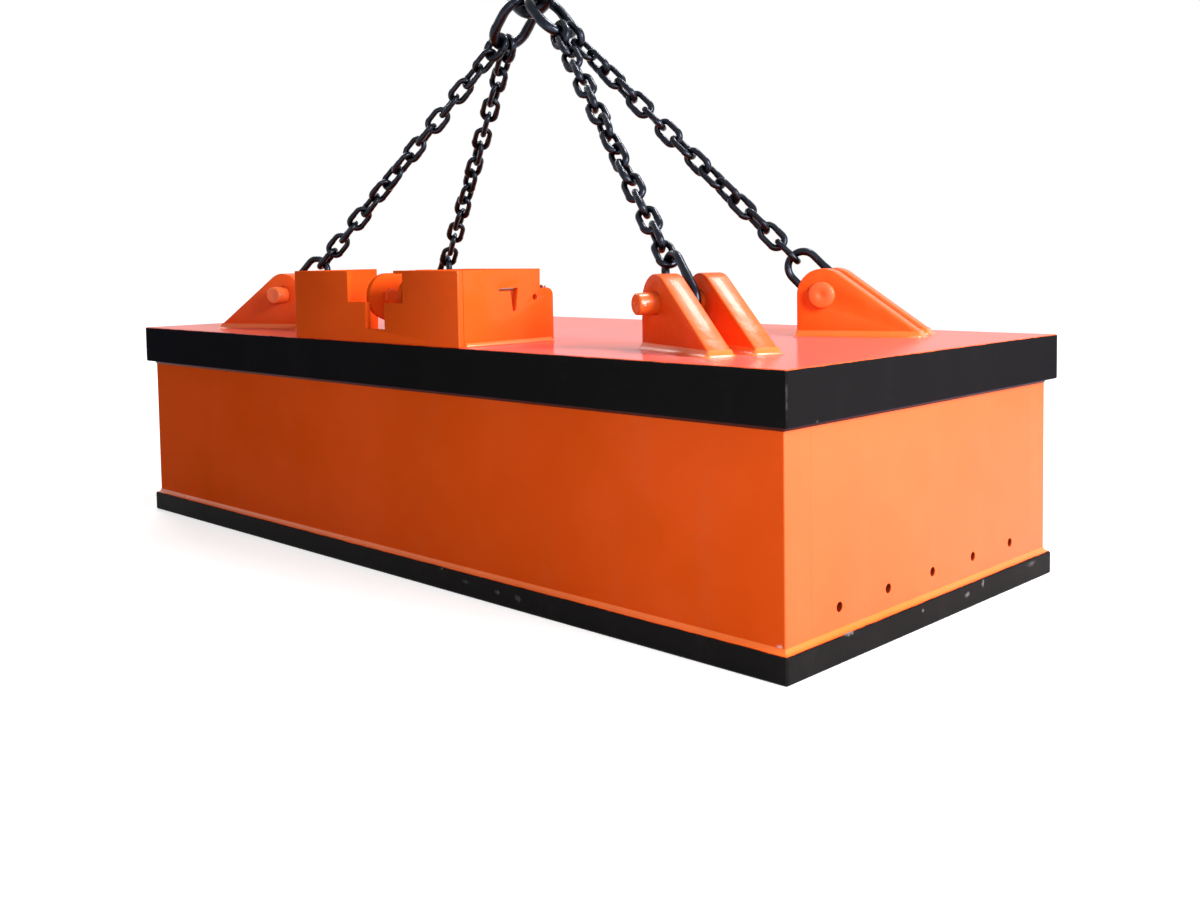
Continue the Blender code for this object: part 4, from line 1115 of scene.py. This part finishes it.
@dataclass(frozen=True)
class Fillet:
    """A hollow-faced fillet weld all round a rectangular foot."""

    leg: float  # height of the weld up the foot
    ledge: float  # width of the weld on what the foot stands on
    corner: float  # rounding of the weld's outside

    def lay(self, name: str, half: tuple[float, float], place: Matrix, finish: Finish) -> None:
        """Lay the weld as a piece of its own.

        Args:
            name: the piece's name.
            half: half the foot's length and width, along local X and Y.
            place: the foot's middle, with local Z up the foot.
            finish: what the weld is coated with.
        """
        bm = bmesh.new()
        sections = (
            (0.0, 1.0, 0.15), (0.30, 0.42, 0.5), (0.62, 0.14, 0.8), (1.0, 0.0, 1.0),
            (0.0, 0.0, 0.15))
        loops = []
        for share, rise, roundness in sections:
            out = self.ledge * share
            square = bmesh.ops.create_grid(
                bm, x_segments=1, y_segments=1, size=1.0,
                matrix=Matrix.Diagonal((half[0] + out, half[1] + out, 1.0, 1.0)))
            face = next(f for v in square["verts"] for f in v.link_faces)
            bmesh.ops.delete(bm, geom=[face], context="FACES_ONLY")
            bmesh.ops.bevel(
                bm, geom=square["verts"], offset=max(self.corner * roundness, 0.0008),
                offset_type="OFFSET", affect="VERTICES", segments=4, profile=0.5, material=-1)
            verts = [v for v in bm.verts if all(v not in ring for ring in loops)]
            bmesh.ops.translate(bm, verts=verts, vec=(0.0, 0.0, self.leg * rise))
            loops.append(set(verts))
        rings = [[e for e in bm.edges if set(e.verts) <= loop] for loop in loops]
        for lower, upper in zip(rings, rings[1:] + rings[:1]):
            bmesh.ops.bridge_loops(bm, edges=lower + upper)
        bm.transform(place)
        to_object(name, bm, finish)


def dress(node: str, finish: Finish) -> None:
    """Give a node of the frame its finish.

    Args:
        node: name of the node.
        finish: what it is coated with.
    """
    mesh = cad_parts[node].data
    mesh.materials.clear()
    mesh.materials.append(finish.material())
    log.info("%s: %s", node, finish.name)


def hexagon(across: float, height: float, middle: float) -> BMesh:
    """A hexagon prism with round edges about the local Z axis.

    Args:
        across: across its corners.
        height: of the prism.
        middle: its middle on that axis.

    Returns:
        The prism's mesh.
    """
    bm = bmesh.new()
    bmesh.ops.create_cone(
        bm, cap_ends=True, segments=6, radius1=across / 2, radius2=across / 2, depth=height,
        matrix=Matrix.Translation((0.0, 0.0, middle)))
    round_edges(bm, across * HEXAGON_EDGE, angle=HEXAGON_ANGLE)
    return bm


@dataclass(frozen=True)
class Bolt:
    """A hexagon bolt along local Z, its head's seat at 0 and its shank below."""

    across: float  # across the head's corners
    head: float  # height of the head
    shank: float  # diameter of the shank
    length: float  # of the shank
    tail: float  # length of the thread that shows at the shank's end
    pitch: float  # of the thread

    def mesh(self) -> BMesh:
        """Make the head, and turn the shank with the ridges of its thread.

        Returns:
            The bolt's mesh.
        """
        radius, pitch = self.shank / 2, self.pitch
        points = [(0.0, -self.length), (radius - pitch / 2, -self.length)]
        ridges = max(1, round(self.tail / pitch))
        for i in range(ridges):
            low = -self.length + pitch * (i + 0.5)
            points += [(radius - pitch * 0.5, low), (radius, low + pitch * 0.4)]
        points += [
            (radius, -self.length + pitch * (ridges + 0.5)), (radius, self.head / 2),
            (0.0, self.head / 2)]
        bm = hexagon(self.across, self.head, self.head / 2)
        absorb(bm, turned(points, 24))
        return bm


@dataclass(frozen=True)
class Gland:
    """A cable gland along local Z: a flange on its seat at 0, a cap and a thread below."""

    bore: float = 0.034
    thread: float = 0.044
    flange: float = 0.056
    cap: float = 0.050
    flange_length: float = 0.010
    cap_length: float = 0.026
    inside: float = 0.014  # length of the thread

    @property
    def out(self) -> float:
        """The cap's end from the seat."""
        return self.flange_length + self.cap_length

    def mesh(self) -> BMesh:
        """Turn the gland.

        Returns:
            The gland's mesh.
        """
        bore, thread, flange, cap = self.bore / 2, self.thread / 2, self.flange / 2, self.cap / 2
        out, step = self.out, self.flange_length
        return turned((
            (bore, out - 0.001), (bore + 0.001, out), (cap - 0.004, out),
            (cap - 0.001, out - 0.003), (cap, out - 0.006), (cap, step + 0.002),
            (cap - 0.003, step), (flange - 0.001, step), (flange, step - 0.001), (flange, 0.001),
            (flange - 0.001, SEAT), (thread, SEAT), (thread, -self.inside), (bore, -self.inside),
        ), 48)


# The magnet's sub-assemblies


@dataclass
class MagnetBody:
    """Yoke plate, walls, pole rim, magnetic circuit and the body's welds."""

    finishes: Finishes
    rim_weld: Fillet = Fillet(0.010, 0.009, 0.006)
    yoke_weld: Fillet = Fillet(0.009, 0.009, 0.006)

    def build(self) -> None:
        """Dress the nodes and lay the two welds round the walls."""
        looks = self.finishes
        dressed = {
            "yoke_plate": looks.deck, "pole_rim": looks.rim, "case_wall_front": looks.walls,
            "case_wall_rear": looks.walls, "case_wall_left": looks.end_walls,
            "case_wall_right": looks.end_walls, "core_pole": looks.core, "pole_shoe": looks.pole,
            "bottom_plate": looks.closing, "coil": looks.copper, "coil_former": looks.board,
            "coil_lead_left": looks.sleeving, "coil_lead_right": looks.sleeving,
        }
        for node, finish in dressed.items():
            dress(node, finish)
        front_low, front_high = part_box("case_wall_front")
        half = (max(front_high.x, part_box("case_wall_right")[1].x), -front_low.y)
        on_rim = Matrix.Translation((0.0, 0.0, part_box("pole_rim")[1].z))
        flipped = Matrix.Rotation(math.pi, 4, "X")
        under_yoke = Matrix.Translation((0.0, 0.0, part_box("yoke_plate")[0].z)) @ flipped
        self.rim_weld.lay("weld_rim", half, on_rim, looks.rim_weld)
        # The weld under the yoke plate wears the painted shadow.
        self.yoke_weld.lay("weld_yoke", half, under_yoke, looks.seam)


@dataclass
class SlingPlan:
    """Sizes and places of the chain sling, as the frame has them."""

    pin_out: float = 0.806  # pin from the middle, along the magnet
    pin_aside: float = 0.281  # pin from the middle, across the magnet
    pin_level: float = 0.705
    leg_top: Triple = (0.1106, 0.0121, 1.4443)  # where a leg hangs: outward, aside and up
    joining_top_out: float = 0.0211  # upper bow of a joining link from the middle
    joining_top_level: float = 1.5395  # its height
    master_level: float = 1.6553  # middle of the master link
    end_link_start: float = -0.03653  # first bow of the end link from the pin, along the leg
    chain_start: float = 0.11981  # first bow of the first link, along the leg
    top_link_start: float = 0.97996  # first bow of the top link, along the leg
    links: int = 15
    pitch: float = 0.0575

    def pin(self, corner: Corner) -> Vector:
        """The middle of a lug's pin."""
        return Vector((corner.sx * self.pin_out, corner.sy * self.pin_aside, self.pin_level))

    def leg_end(self, corner: Corner) -> Vector:
        """Where a leg hangs on its joining link."""
        out, aside, level = self.leg_top
        return Vector((corner.sx * out, corner.sy * aside, level))

    def joining_top(self, side: Side) -> Vector:
        """The upper bow of a joining link."""
        return Vector((side.value * self.joining_top_out, 0.0, self.joining_top_level))

    def joining_axis(self, side: Side) -> Vector:
        """Direction of a joining link, from its legs up."""
        hung = Vector((side.value * self.leg_top[0], 0.0, self.leg_top[2]))
        return (self.joining_top(side) - hung).normalized()

    def along(self, corner: Corner) -> Vector:
        """Level direction of a lug, from the middle out."""
        outward = self.pin(corner) - self.leg_end(corner)
        return Vector((outward.x, outward.y, 0.0)).normalized()


@dataclass
class LiftingLug:
    """Two ears with their welds, the pin and its roll pin."""

    corner: Corner
    plan: SlingPlan
    finishes: Finishes
    ear_thickness: float = 0.057
    ear_gap: float = 0.057
    crown: float = 0.066  # radius of the ear round the pin
    slope: float = math.radians(36.0)  # of the ear's back
    nose: float = 0.012  # upright step at the tip
    edge: float = 0.0035
    weld: Fillet = Fillet(0.015, 0.015, 0.015)
    pin_diameter: float = 0.050
    pin_tail: float = 0.047  # shank past the ear
    pin_chamfer: float = 0.003  # at the tail and round the head
    pin_edge: float = 0.001  # smaller breaks of the head's edges
    pin_dimple: float = 0.006  # radius of the centre mark in each end
    head_diameter: float = 0.066
    head_length: float = 0.016
    roll_diameter: float = 0.008
    roll_wall: float = 0.002  # thickness of its wall
    roll_slot: float = math.radians(40.0)  # its slot, as an angle
    roll_setback: float = 0.011  # roll pin from the end of the tail
    roll_proud: float = 0.0015  # past the tail's surface, at each end

    def __post_init__(self) -> None:
        """Work out the lug's place and directions."""
        self.middle = self.plan.pin(self.corner)
        self.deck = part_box("yoke_plate")[1].z
        self.pin_height = self.middle.z - self.deck
        self.along = self.plan.along(self.corner)
        self.across = UP.cross(self.along)
        self.outer = self.corner.sx * self.corner.sy
        rise = self.pin_height + self.crown * math.cos(self.slope) - self.nose
        self.tip = self.crown * math.sin(self.slope) + rise / math.tan(self.slope)

    def ear(self, name: str, side: int) -> None:
        """One ear and the weld round its foot.

        Args:
            name: outer or inner.
            side: side of the pin's middle, along the lug's across direction.
        """
        high = self.pin_height
        sweep = math.pi / 2 + self.slope
        bm = plate(
            (self.tip, SEAT),
            (Line(self.tip, self.nose),
             Line(self.crown * math.sin(self.slope), high + self.crown * math.cos(self.slope)),
             Turn(0.0, high, sweep, 28), Line(-self.crown, SEAT)),
            self.ear_thickness, self.edge,
            holes=((0.0, high, self.pin_diameter + 4 * SEAT),))
        offset = self.across * side * (self.ear_gap + self.ear_thickness) / 2
        foot = Vector((self.middle.x, self.middle.y, self.deck)) + offset
        bm.transform(axes_at(foot, self.along, UP))
        node = f"ear_{self.corner.label}_{name}"
        stand_in("lug", node, bm, self.finishes.lugs)
        half = (self.tip + self.crown) / 2
        middle = foot + self.along * (self.tip - half)
        self.weld.lay(
            f"weld_{node}", (half, self.ear_thickness / 2),
            axes_at(middle, self.along, self.across), self.finishes.welds)

    def pin(self) -> None:
        """The pin, its head toward the middle of the magnet, with a dimple at each end."""
        half_grip = self.ear_gap / 2 + self.ear_thickness
        radius = self.pin_diameter / 2
        head = self.head_diameter / 2
        low = half_grip + SEAT
        top = low + self.head_length
        end = -half_grip - self.pin_tail
        dimple, chamfer, edge = self.pin_dimple, self.pin_chamfer, self.pin_edge
        bm = turned((
            (0.0, top - chamfer), (dimple, top), (head - chamfer, top), (head - edge, top - edge),
            (head, top - chamfer), (head, low + edge), (head - edge, low), (radius, low),
            (radius, end + chamfer), (radius - chamfer, end), (dimple, end), (0.0, end + chamfer),
        ), 48)
        head_axis = -self.across * self.outer
        bm.transform(axes_at(self.middle, self.along, head_axis.cross(self.along)))
        stand_in("lug", f"pin_{self.corner.label}", bm, self.finishes.pins)

    def roll_pin(self) -> None:
        """The slotted roll pin across the pin's tail."""
        head_axis = -self.across * self.outer
        reach = self.ear_gap / 2 + self.ear_thickness + self.pin_tail - self.roll_setback
        hole = self.middle - head_axis * reach
        outer = self.roll_diameter / 2
        inner = outer - self.roll_wall
        cosine = math.cos(self.roll_slot / 2)
        sine = math.sin(self.roll_slot / 2)
        sweep = 2 * math.pi - self.roll_slot
        bm = plate(
            (outer * cosine, outer * sine),
            (Turn(0.0, 0.0, sweep, 24), Line(inner * cosine, -inner * sine),
             Turn(0.0, 0.0, -sweep, 24)),
            self.pin_diameter + 2 * self.roll_proud, 0.0004)
        bm.transform(axes_at(hole, self.across, UP))
        stand_in("lug", f"roll_pin_{self.corner.label}", bm, self.finishes.zinc)

    def build(self) -> None:
        """Both ears, the pin and the roll pin."""
        self.ear("outer", self.outer)
        self.ear("inner", -self.outer)
        self.pin()
        self.roll_pin()


@dataclass
class ChainLeg:
    """End link, chain and top link from one lug's pin to its joining link."""

    corner: Corner
    plan: SlingPlan
    finishes: Finishes
    end_link: Link = Link(0.020, 0.155, 0.060, 20, 24, 1.12)
    chain_link: Link = Link(0.016, 0.057, 0.025, 14, 14, 1.12)
    top_link: Link = Link(0.020, 0.050, 0.034, 16, 16, 1.12)

    def place(self, distance: float, width_axis: Vector) -> Matrix:
        """A link's place on the leg."""
        return axes_at(self.pin + self.axis * distance, self.axis, width_axis)

    def build(self) -> None:
        """The end link as one piece, and the chain with its top link as another."""
        plan = self.plan
        self.pin = plan.pin(self.corner)
        self.axis = (plan.leg_end(self.corner) - self.pin).normalized()
        across = UP.cross(plan.along(self.corner))
        in_plane = across.cross(self.axis)
        end = self.end_link.mesh()
        end.transform(self.place(plan.end_link_start + self.end_link.reach, in_plane))
        stand_in("sling", f"end_link_{self.corner.label}", end, self.finishes.chain)

        side = Side(self.corner.sx)
        normal = plan.joining_axis(side).cross(BACKWARD) * self.corner.sx
        normal = (normal - self.axis * normal.dot(self.axis)).normalized()
        twist = math.atan2(self.axis.dot(in_plane.cross(normal)), in_plane.dot(normal))
        places = []
        for i in range(plan.links + 1):
            turn = Matrix.Rotation(twist * (i + 1) / (plan.links + 1), 3, self.axis)
            distance = plan.chain_start + i * plan.pitch + self.chain_link.reach
            if i == plan.links:
                distance = plan.top_link_start + self.top_link.reach
            places.append(self.place(distance, turn @ (in_plane if i % 2 else across)))
        bm = copies(self.chain_link.mesh(), places[:-1])
        absorb(bm, copies(self.top_link.mesh(), places[-1:]))
        stand_in("sling", f"chain_{self.corner.label}", bm, self.finishes.chain)


@dataclass
class SlingHead:
    """The two joining links and the master link."""

    plan: SlingPlan
    finishes: Finishes
    joining: Link = Link(0.028, 0.130, 0.085, 24, 28, 1.06)
    master: Link = Link(0.036, 0.270, 0.140, 28, 36)

    def build(self) -> None:
        """Both joining links and the master link."""
        for side in Side:
            axis = self.plan.joining_axis(side)
            middle = self.plan.joining_top(side) - axis * self.joining.reach
            bm = self.joining.mesh()
            bm.transform(axes_at(middle, axis, BACKWARD))
            stand_in("sling", f"joining_link_{side.label}", bm, self.finishes.chain)
        bm = self.master.mesh()
        bm.transform(axes_at(Vector((0.0, 0.0, self.plan.master_level)), UP, RIGHTWARD))
        stand_in("sling", "master_link", bm, self.finishes.chain)


@dataclass
class CableGuard:
    """The plates round the terminal box, with their rounded edges and welds."""

    finishes: Finishes
    edge: float = 0.0022
    slot_edge: float = 0.0012  # rounding of the plate with the small cuts and of the lid
    weld: Fillet = Fillet(0.009, 0.009, 0.004)
    weld_stop: float = 0.008  # each end of the weld short of the plate's

    def build(self) -> None:
        """The three plates, the lid and a weld round the foot of each end plate."""
        edges = {
            "guard_front_plate": self.edge, "guard_end_plate_left": self.edge,
            "guard_end_plate_right": self.slot_edge, "guard_lid": self.slot_edge,
        }
        for node, edge in edges.items():
            stand_in("box", node, softened(node, edge), self.finishes.box)
        for side in Side:
            low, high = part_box(f"guard_end_plate_{side.label}")
            middle, half = (low + high) / 2, (high - low) / 2
            self.weld.lay(
                f"weld_guard_{side.label}", (half.x, half.y - self.weld_stop),
                Matrix.Translation((middle.x, middle.y, low.z)), self.finishes.welds)


@dataclass
class TerminalBox:
    """The box with its cover and bolts, the gland and what is inside."""

    finishes: Finishes
    edge: float = 0.0012
    bolt: Bolt = Bolt(0.019, 0.007, 0.010, 0.026, 0.006, 0.0015)
    gland: Gland = Gland()

    def build(self) -> None:
        """Box, cover, cover bolts, gland and terminals."""
        # The box and its cover wear the darker orange of painted shade.
        for node in ("terminal_box", "terminal_cover"):
            stand_in("box", node, softened(node, self.edge, 2), self.finishes.inside)
        for end in ("front", "rear"):
            for side in Side:
                self.cover_bolt(f"cover_bolt_{side.label}_{end}")
        self.cable_gland()
        dress("terminal_board", self.finishes.board)
        for side in Side:
            dress(f"terminal_stud_{side.label}", self.finishes.brass)

    def cover_bolt(self, node: str) -> None:
        """One bolt of the cover.

        Args:
            node: name of the bolt in the frame.
        """
        low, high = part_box(node)
        middle = (low + high) / 2
        bm = self.bolt.mesh()
        bm.transform(Matrix.Translation((middle.x, middle.y, high.z - self.bolt.head)))
        stand_in("box", node, bm, self.finishes.zinc)

    def cable_gland(self) -> None:
        """The gland, in the left side of the box."""
        low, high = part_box("cable_gland")
        middle = (low + high) / 2
        middle.x = low.x + self.gland.out
        bm = self.gland.mesh()
        bm.transform(axes_at(middle, UP, BACKWARD))
        stand_in("box", "cable_gland", bm, self.finishes.brass)


@dataclass
class CableHanger:
    """Two cheeks behind the guard's notch, each with its bolt and nut."""

    finishes: Finishes
    spacing: float = 0.136
    thickness: float = 0.016
    crown: float = 0.060  # radius round the bolt
    bolt_back: float = 0.088  # bolt behind the yoke plate's front edge
    bolt_height: float = 0.115  # bolt above the deck
    back: float = 0.262  # back edge behind the yoke plate's front edge
    foot: float = 0.190  # front of the foot behind the yoke plate's front edge
    bolt_shank: float = 0.024
    bolt_across: float = 0.041  # its head and the nut across their corners
    bolt_head: float = 0.015  # height of the head
    nut_height: float = 0.019
    tail: float = 0.012  # thread past the nut
    edge: float = 0.0020
    thread: float = 0.003  # pitch of the bolt's thread
    weld: Fillet = Fillet(0.007, 0.007, 0.004)

    def cheek(self, side: Side) -> None:
        """One cheek and the weld round its foot.

        Args:
            side: which cheek.
        """
        run = self.foot - self.bolt_back
        line = math.hypot(run, self.bolt_height)
        toward_foot = math.atan2(-self.bolt_height, run)
        under = toward_foot - math.atan2(math.sqrt(line ** 2 - self.crown ** 2), self.crown)
        sweep = math.tau + under - math.pi / 2
        top = self.bolt_height + self.crown
        bm = plate(
            (self.back, top),
            (Line(self.bolt_back, top), Turn(self.bolt_back, self.bolt_height, sweep, 28),
             Line(self.foot, SEAT), Line(self.back, SEAT)),
            self.thickness, self.edge,
            holes=((self.bolt_back, self.bolt_height, self.bolt_shank + 4 * SEAT),))
        yoke_low, yoke_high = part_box("yoke_plate")
        origin = Vector((side.value * self.spacing / 2, yoke_low.y, yoke_high.z))
        bm.transform(axes_at(origin, BACKWARD, UP))
        node = f"cable_cheek_{side.label}"
        stand_in("hanger", node, bm, self.finishes.box)
        foot = origin + BACKWARD * (self.back + self.foot) / 2
        self.weld.lay(
            f"weld_{node}", (self.thickness / 2, (self.back - self.foot) / 2),
            Matrix.Translation(foot), self.finishes.welds)

    def bolt_and_nut(self, side: Side) -> None:
        """One cheek's bolt, head toward the middle, and its nut.

        Args:
            side: which cheek.
        """
        yoke_low, yoke_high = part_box("yoke_plate")
        inner = side.value * ((self.spacing - self.thickness) / 2 - SEAT)
        point = Vector((inner, yoke_low.y + self.bolt_back, yoke_high.z + self.bolt_height))
        place = axes_at(point, BACKWARD * -side.value, UP)
        grip = self.thickness + 2 * SEAT
        length = grip + self.nut_height + self.tail
        bm = Bolt(
            self.bolt_across, self.bolt_head, self.bolt_shank, length, self.tail,
            self.thread).mesh()
        bm.transform(place)
        stand_in("hanger", f"cable_bolt_{side.label}", bm, self.finishes.bolts)
        nut = hexagon(self.bolt_across, self.nut_height, -grip - self.nut_height / 2)
        nut.transform(place)
        stand_in("hanger", f"cable_nut_{side.label}", nut, self.finishes.bolts)

    def build(self) -> None:
        """Both cheeks with their bolts and nuts."""
        for side in Side:
            self.cheek(side)
            self.bolt_and_nut(side)


def seen_white(graph: Graph) -> Socket:
    """A mask of the rays that see the background as white.

    Args:
        graph: the floor's or the world's graph.

    Returns:
        1 for camera, glossy and transmission rays, 0 for the rest.
    """
    path = graph.add("ShaderNodeLightPath").outputs
    seen = graph.math("MAXIMUM", path["Is Camera Ray"], path["Is Glossy Ray"])
    return graph.math("MAXIMUM", seen, path["Is Transmission Ray"])


@dataclass
class Studio:
    """Floor, light and the photograph's camera."""

    floor_size: float = 60.0
    near: float = 2.2  # distance from the middle within which the floor shows the shadow
    far: float = 4.5  # distance from which the floor is plain white
    near_lift: float = 0.62  # how white the floor is in the shadow
    glow: float = 0.20  # strength of the world's light
    camera_place: Triple = (2.6377, -2.4281, 0.8211)
    yaw: float = math.radians(134.540)  # direction it looks in, from +X
    pitch: float = math.radians(3.569)  # how far it looks down
    roll: float = math.radians(-0.928)  # its turn about its own axis
    lens: float = 37.416
    sensor: float = 36.0
    shift: float = -0.10  # height of the frame's middle, as a share of the width

    def camera(self) -> None:
        """The camera of the photograph."""
        forward = Vector((
            math.cos(self.yaw) * math.cos(self.pitch), math.sin(self.yaw) * math.cos(self.pitch),
            -math.sin(self.pitch)))
        level = Vector((math.sin(self.yaw), -math.cos(self.yaw), 0.0))
        upward = level.cross(forward)
        right = level * math.cos(self.roll) + upward * math.sin(self.roll)
        data = bpy.data.cameras.new("camera")
        data.lens = self.lens
        data.sensor_width = self.sensor
        data.shift_y = self.shift
        data.clip_end = 200.0
        camera = placed("camera", data)
        camera.matrix_world = axes_at(Vector(self.camera_place), right, right.cross(forward))
        bpy.context.scene.camera = camera

    def floor(self) -> None:
        """A wide pale floor, white to the camera and its mirrors apart from the magnet's shadow."""
        bm = bmesh.new()
        bmesh.ops.create_grid(bm, x_segments=1, y_segments=1, size=self.floor_size / 2)
        mesh = bpy.data.meshes.new("floor")
        bm.to_mesh(mesh)
        bm.free()
        graph = MaterialGraph("pale_floor")
        cloud = graph.noise(graph.place, 1.5, 2.0)
        away = graph.arrow("LENGTH", graph.place, output=1)
        lift = graph.ramp(away, self.near, self.far, self.near_lift, 1.0)
        graph.shade(
            Base_Color=rgb(0.62, 0.62, 0.62), Roughness=graph.ramp(cloud, 0.3, 0.7, 0.75, 0.85),
            Specular_IOR_Level=0.1, Emission_Color=WHITE,
            Emission_Strength=graph.times(seen_white(graph), lift))
        mesh.materials.append(graph.material)
        placed("floor", mesh)

    def world(self) -> None:
        """A white backdrop for camera, mirror and glass rays, and soft light for the rest."""
        world = bpy.data.worlds.new("studio")
        bpy.context.scene.world = world
        world.use_nodes = True
        graph = Graph(world.node_tree)
        background = world.node_tree.nodes["Background"]
        graph.feed(background.inputs["Color"], WHITE)
        graph.feed(background.inputs["Strength"], graph.lerp(seen_white(graph), self.glow, 1.0))

    def lamp(self, name: str, place: Triple, target: Triple, size: float, power: float) -> None:
        """A square soft lamp.

        Args:
            name: of the lamp.
            place: where it stands.
            target: what it points at.
            size: its side.
            power: in watts.
        """
        data = bpy.data.lights.new(name, "AREA")
        data.size = size
        data.energy = power
        turn = (Vector(place) - Vector(target)).to_track_quat("Z", "Y").to_matrix().to_4x4()
        placed(name, data).matrix_world = Matrix.Translation(place) @ turn

    def build(self) -> None:
        """Camera, floor, world and lamps."""
        self.camera()
        self.floor()
        self.world()
        self.lamp("key", (4.8, -0.1, 2.2), (1.2, 0.0, 0.3), 2.0, 410.0)
        self.lamp("top", (0.72, 2.25, 4.9), (0.6, -0.2, 0.6), 0.75, 165.0)
        self.lamp("front", (2.9, -2.8, 1.3), (1.1, -0.5, 0.35), 1.2, 34.0)
        self.lamp("fill", (-4.6, 1.2, 4.6), (-1.2, 0.0, 0.3), 2.0, 150.0)
        bpy.context.scene.view_settings.view_transform = "Standard"


def main() -> None:
    """Build the magnet's looks in order, then the studio."""
    logging.basicConfig(level=logging.INFO, format="%(name)s: %(message)s")
    finishes = Finishes()
    plan = SlingPlan()
    MagnetBody(finishes).build()
    for corner in Corner:
        LiftingLug(corner, plan, finishes).build()
        ChainLeg(corner, plan, finishes).build()
    SlingHead(plan, finishes).build()
    CableGuard(finishes).build()
    TerminalBox(finishes).build()
    CableHanger(finishes).build()
    Studio().build()


if __name__ == "__main__":
    main()
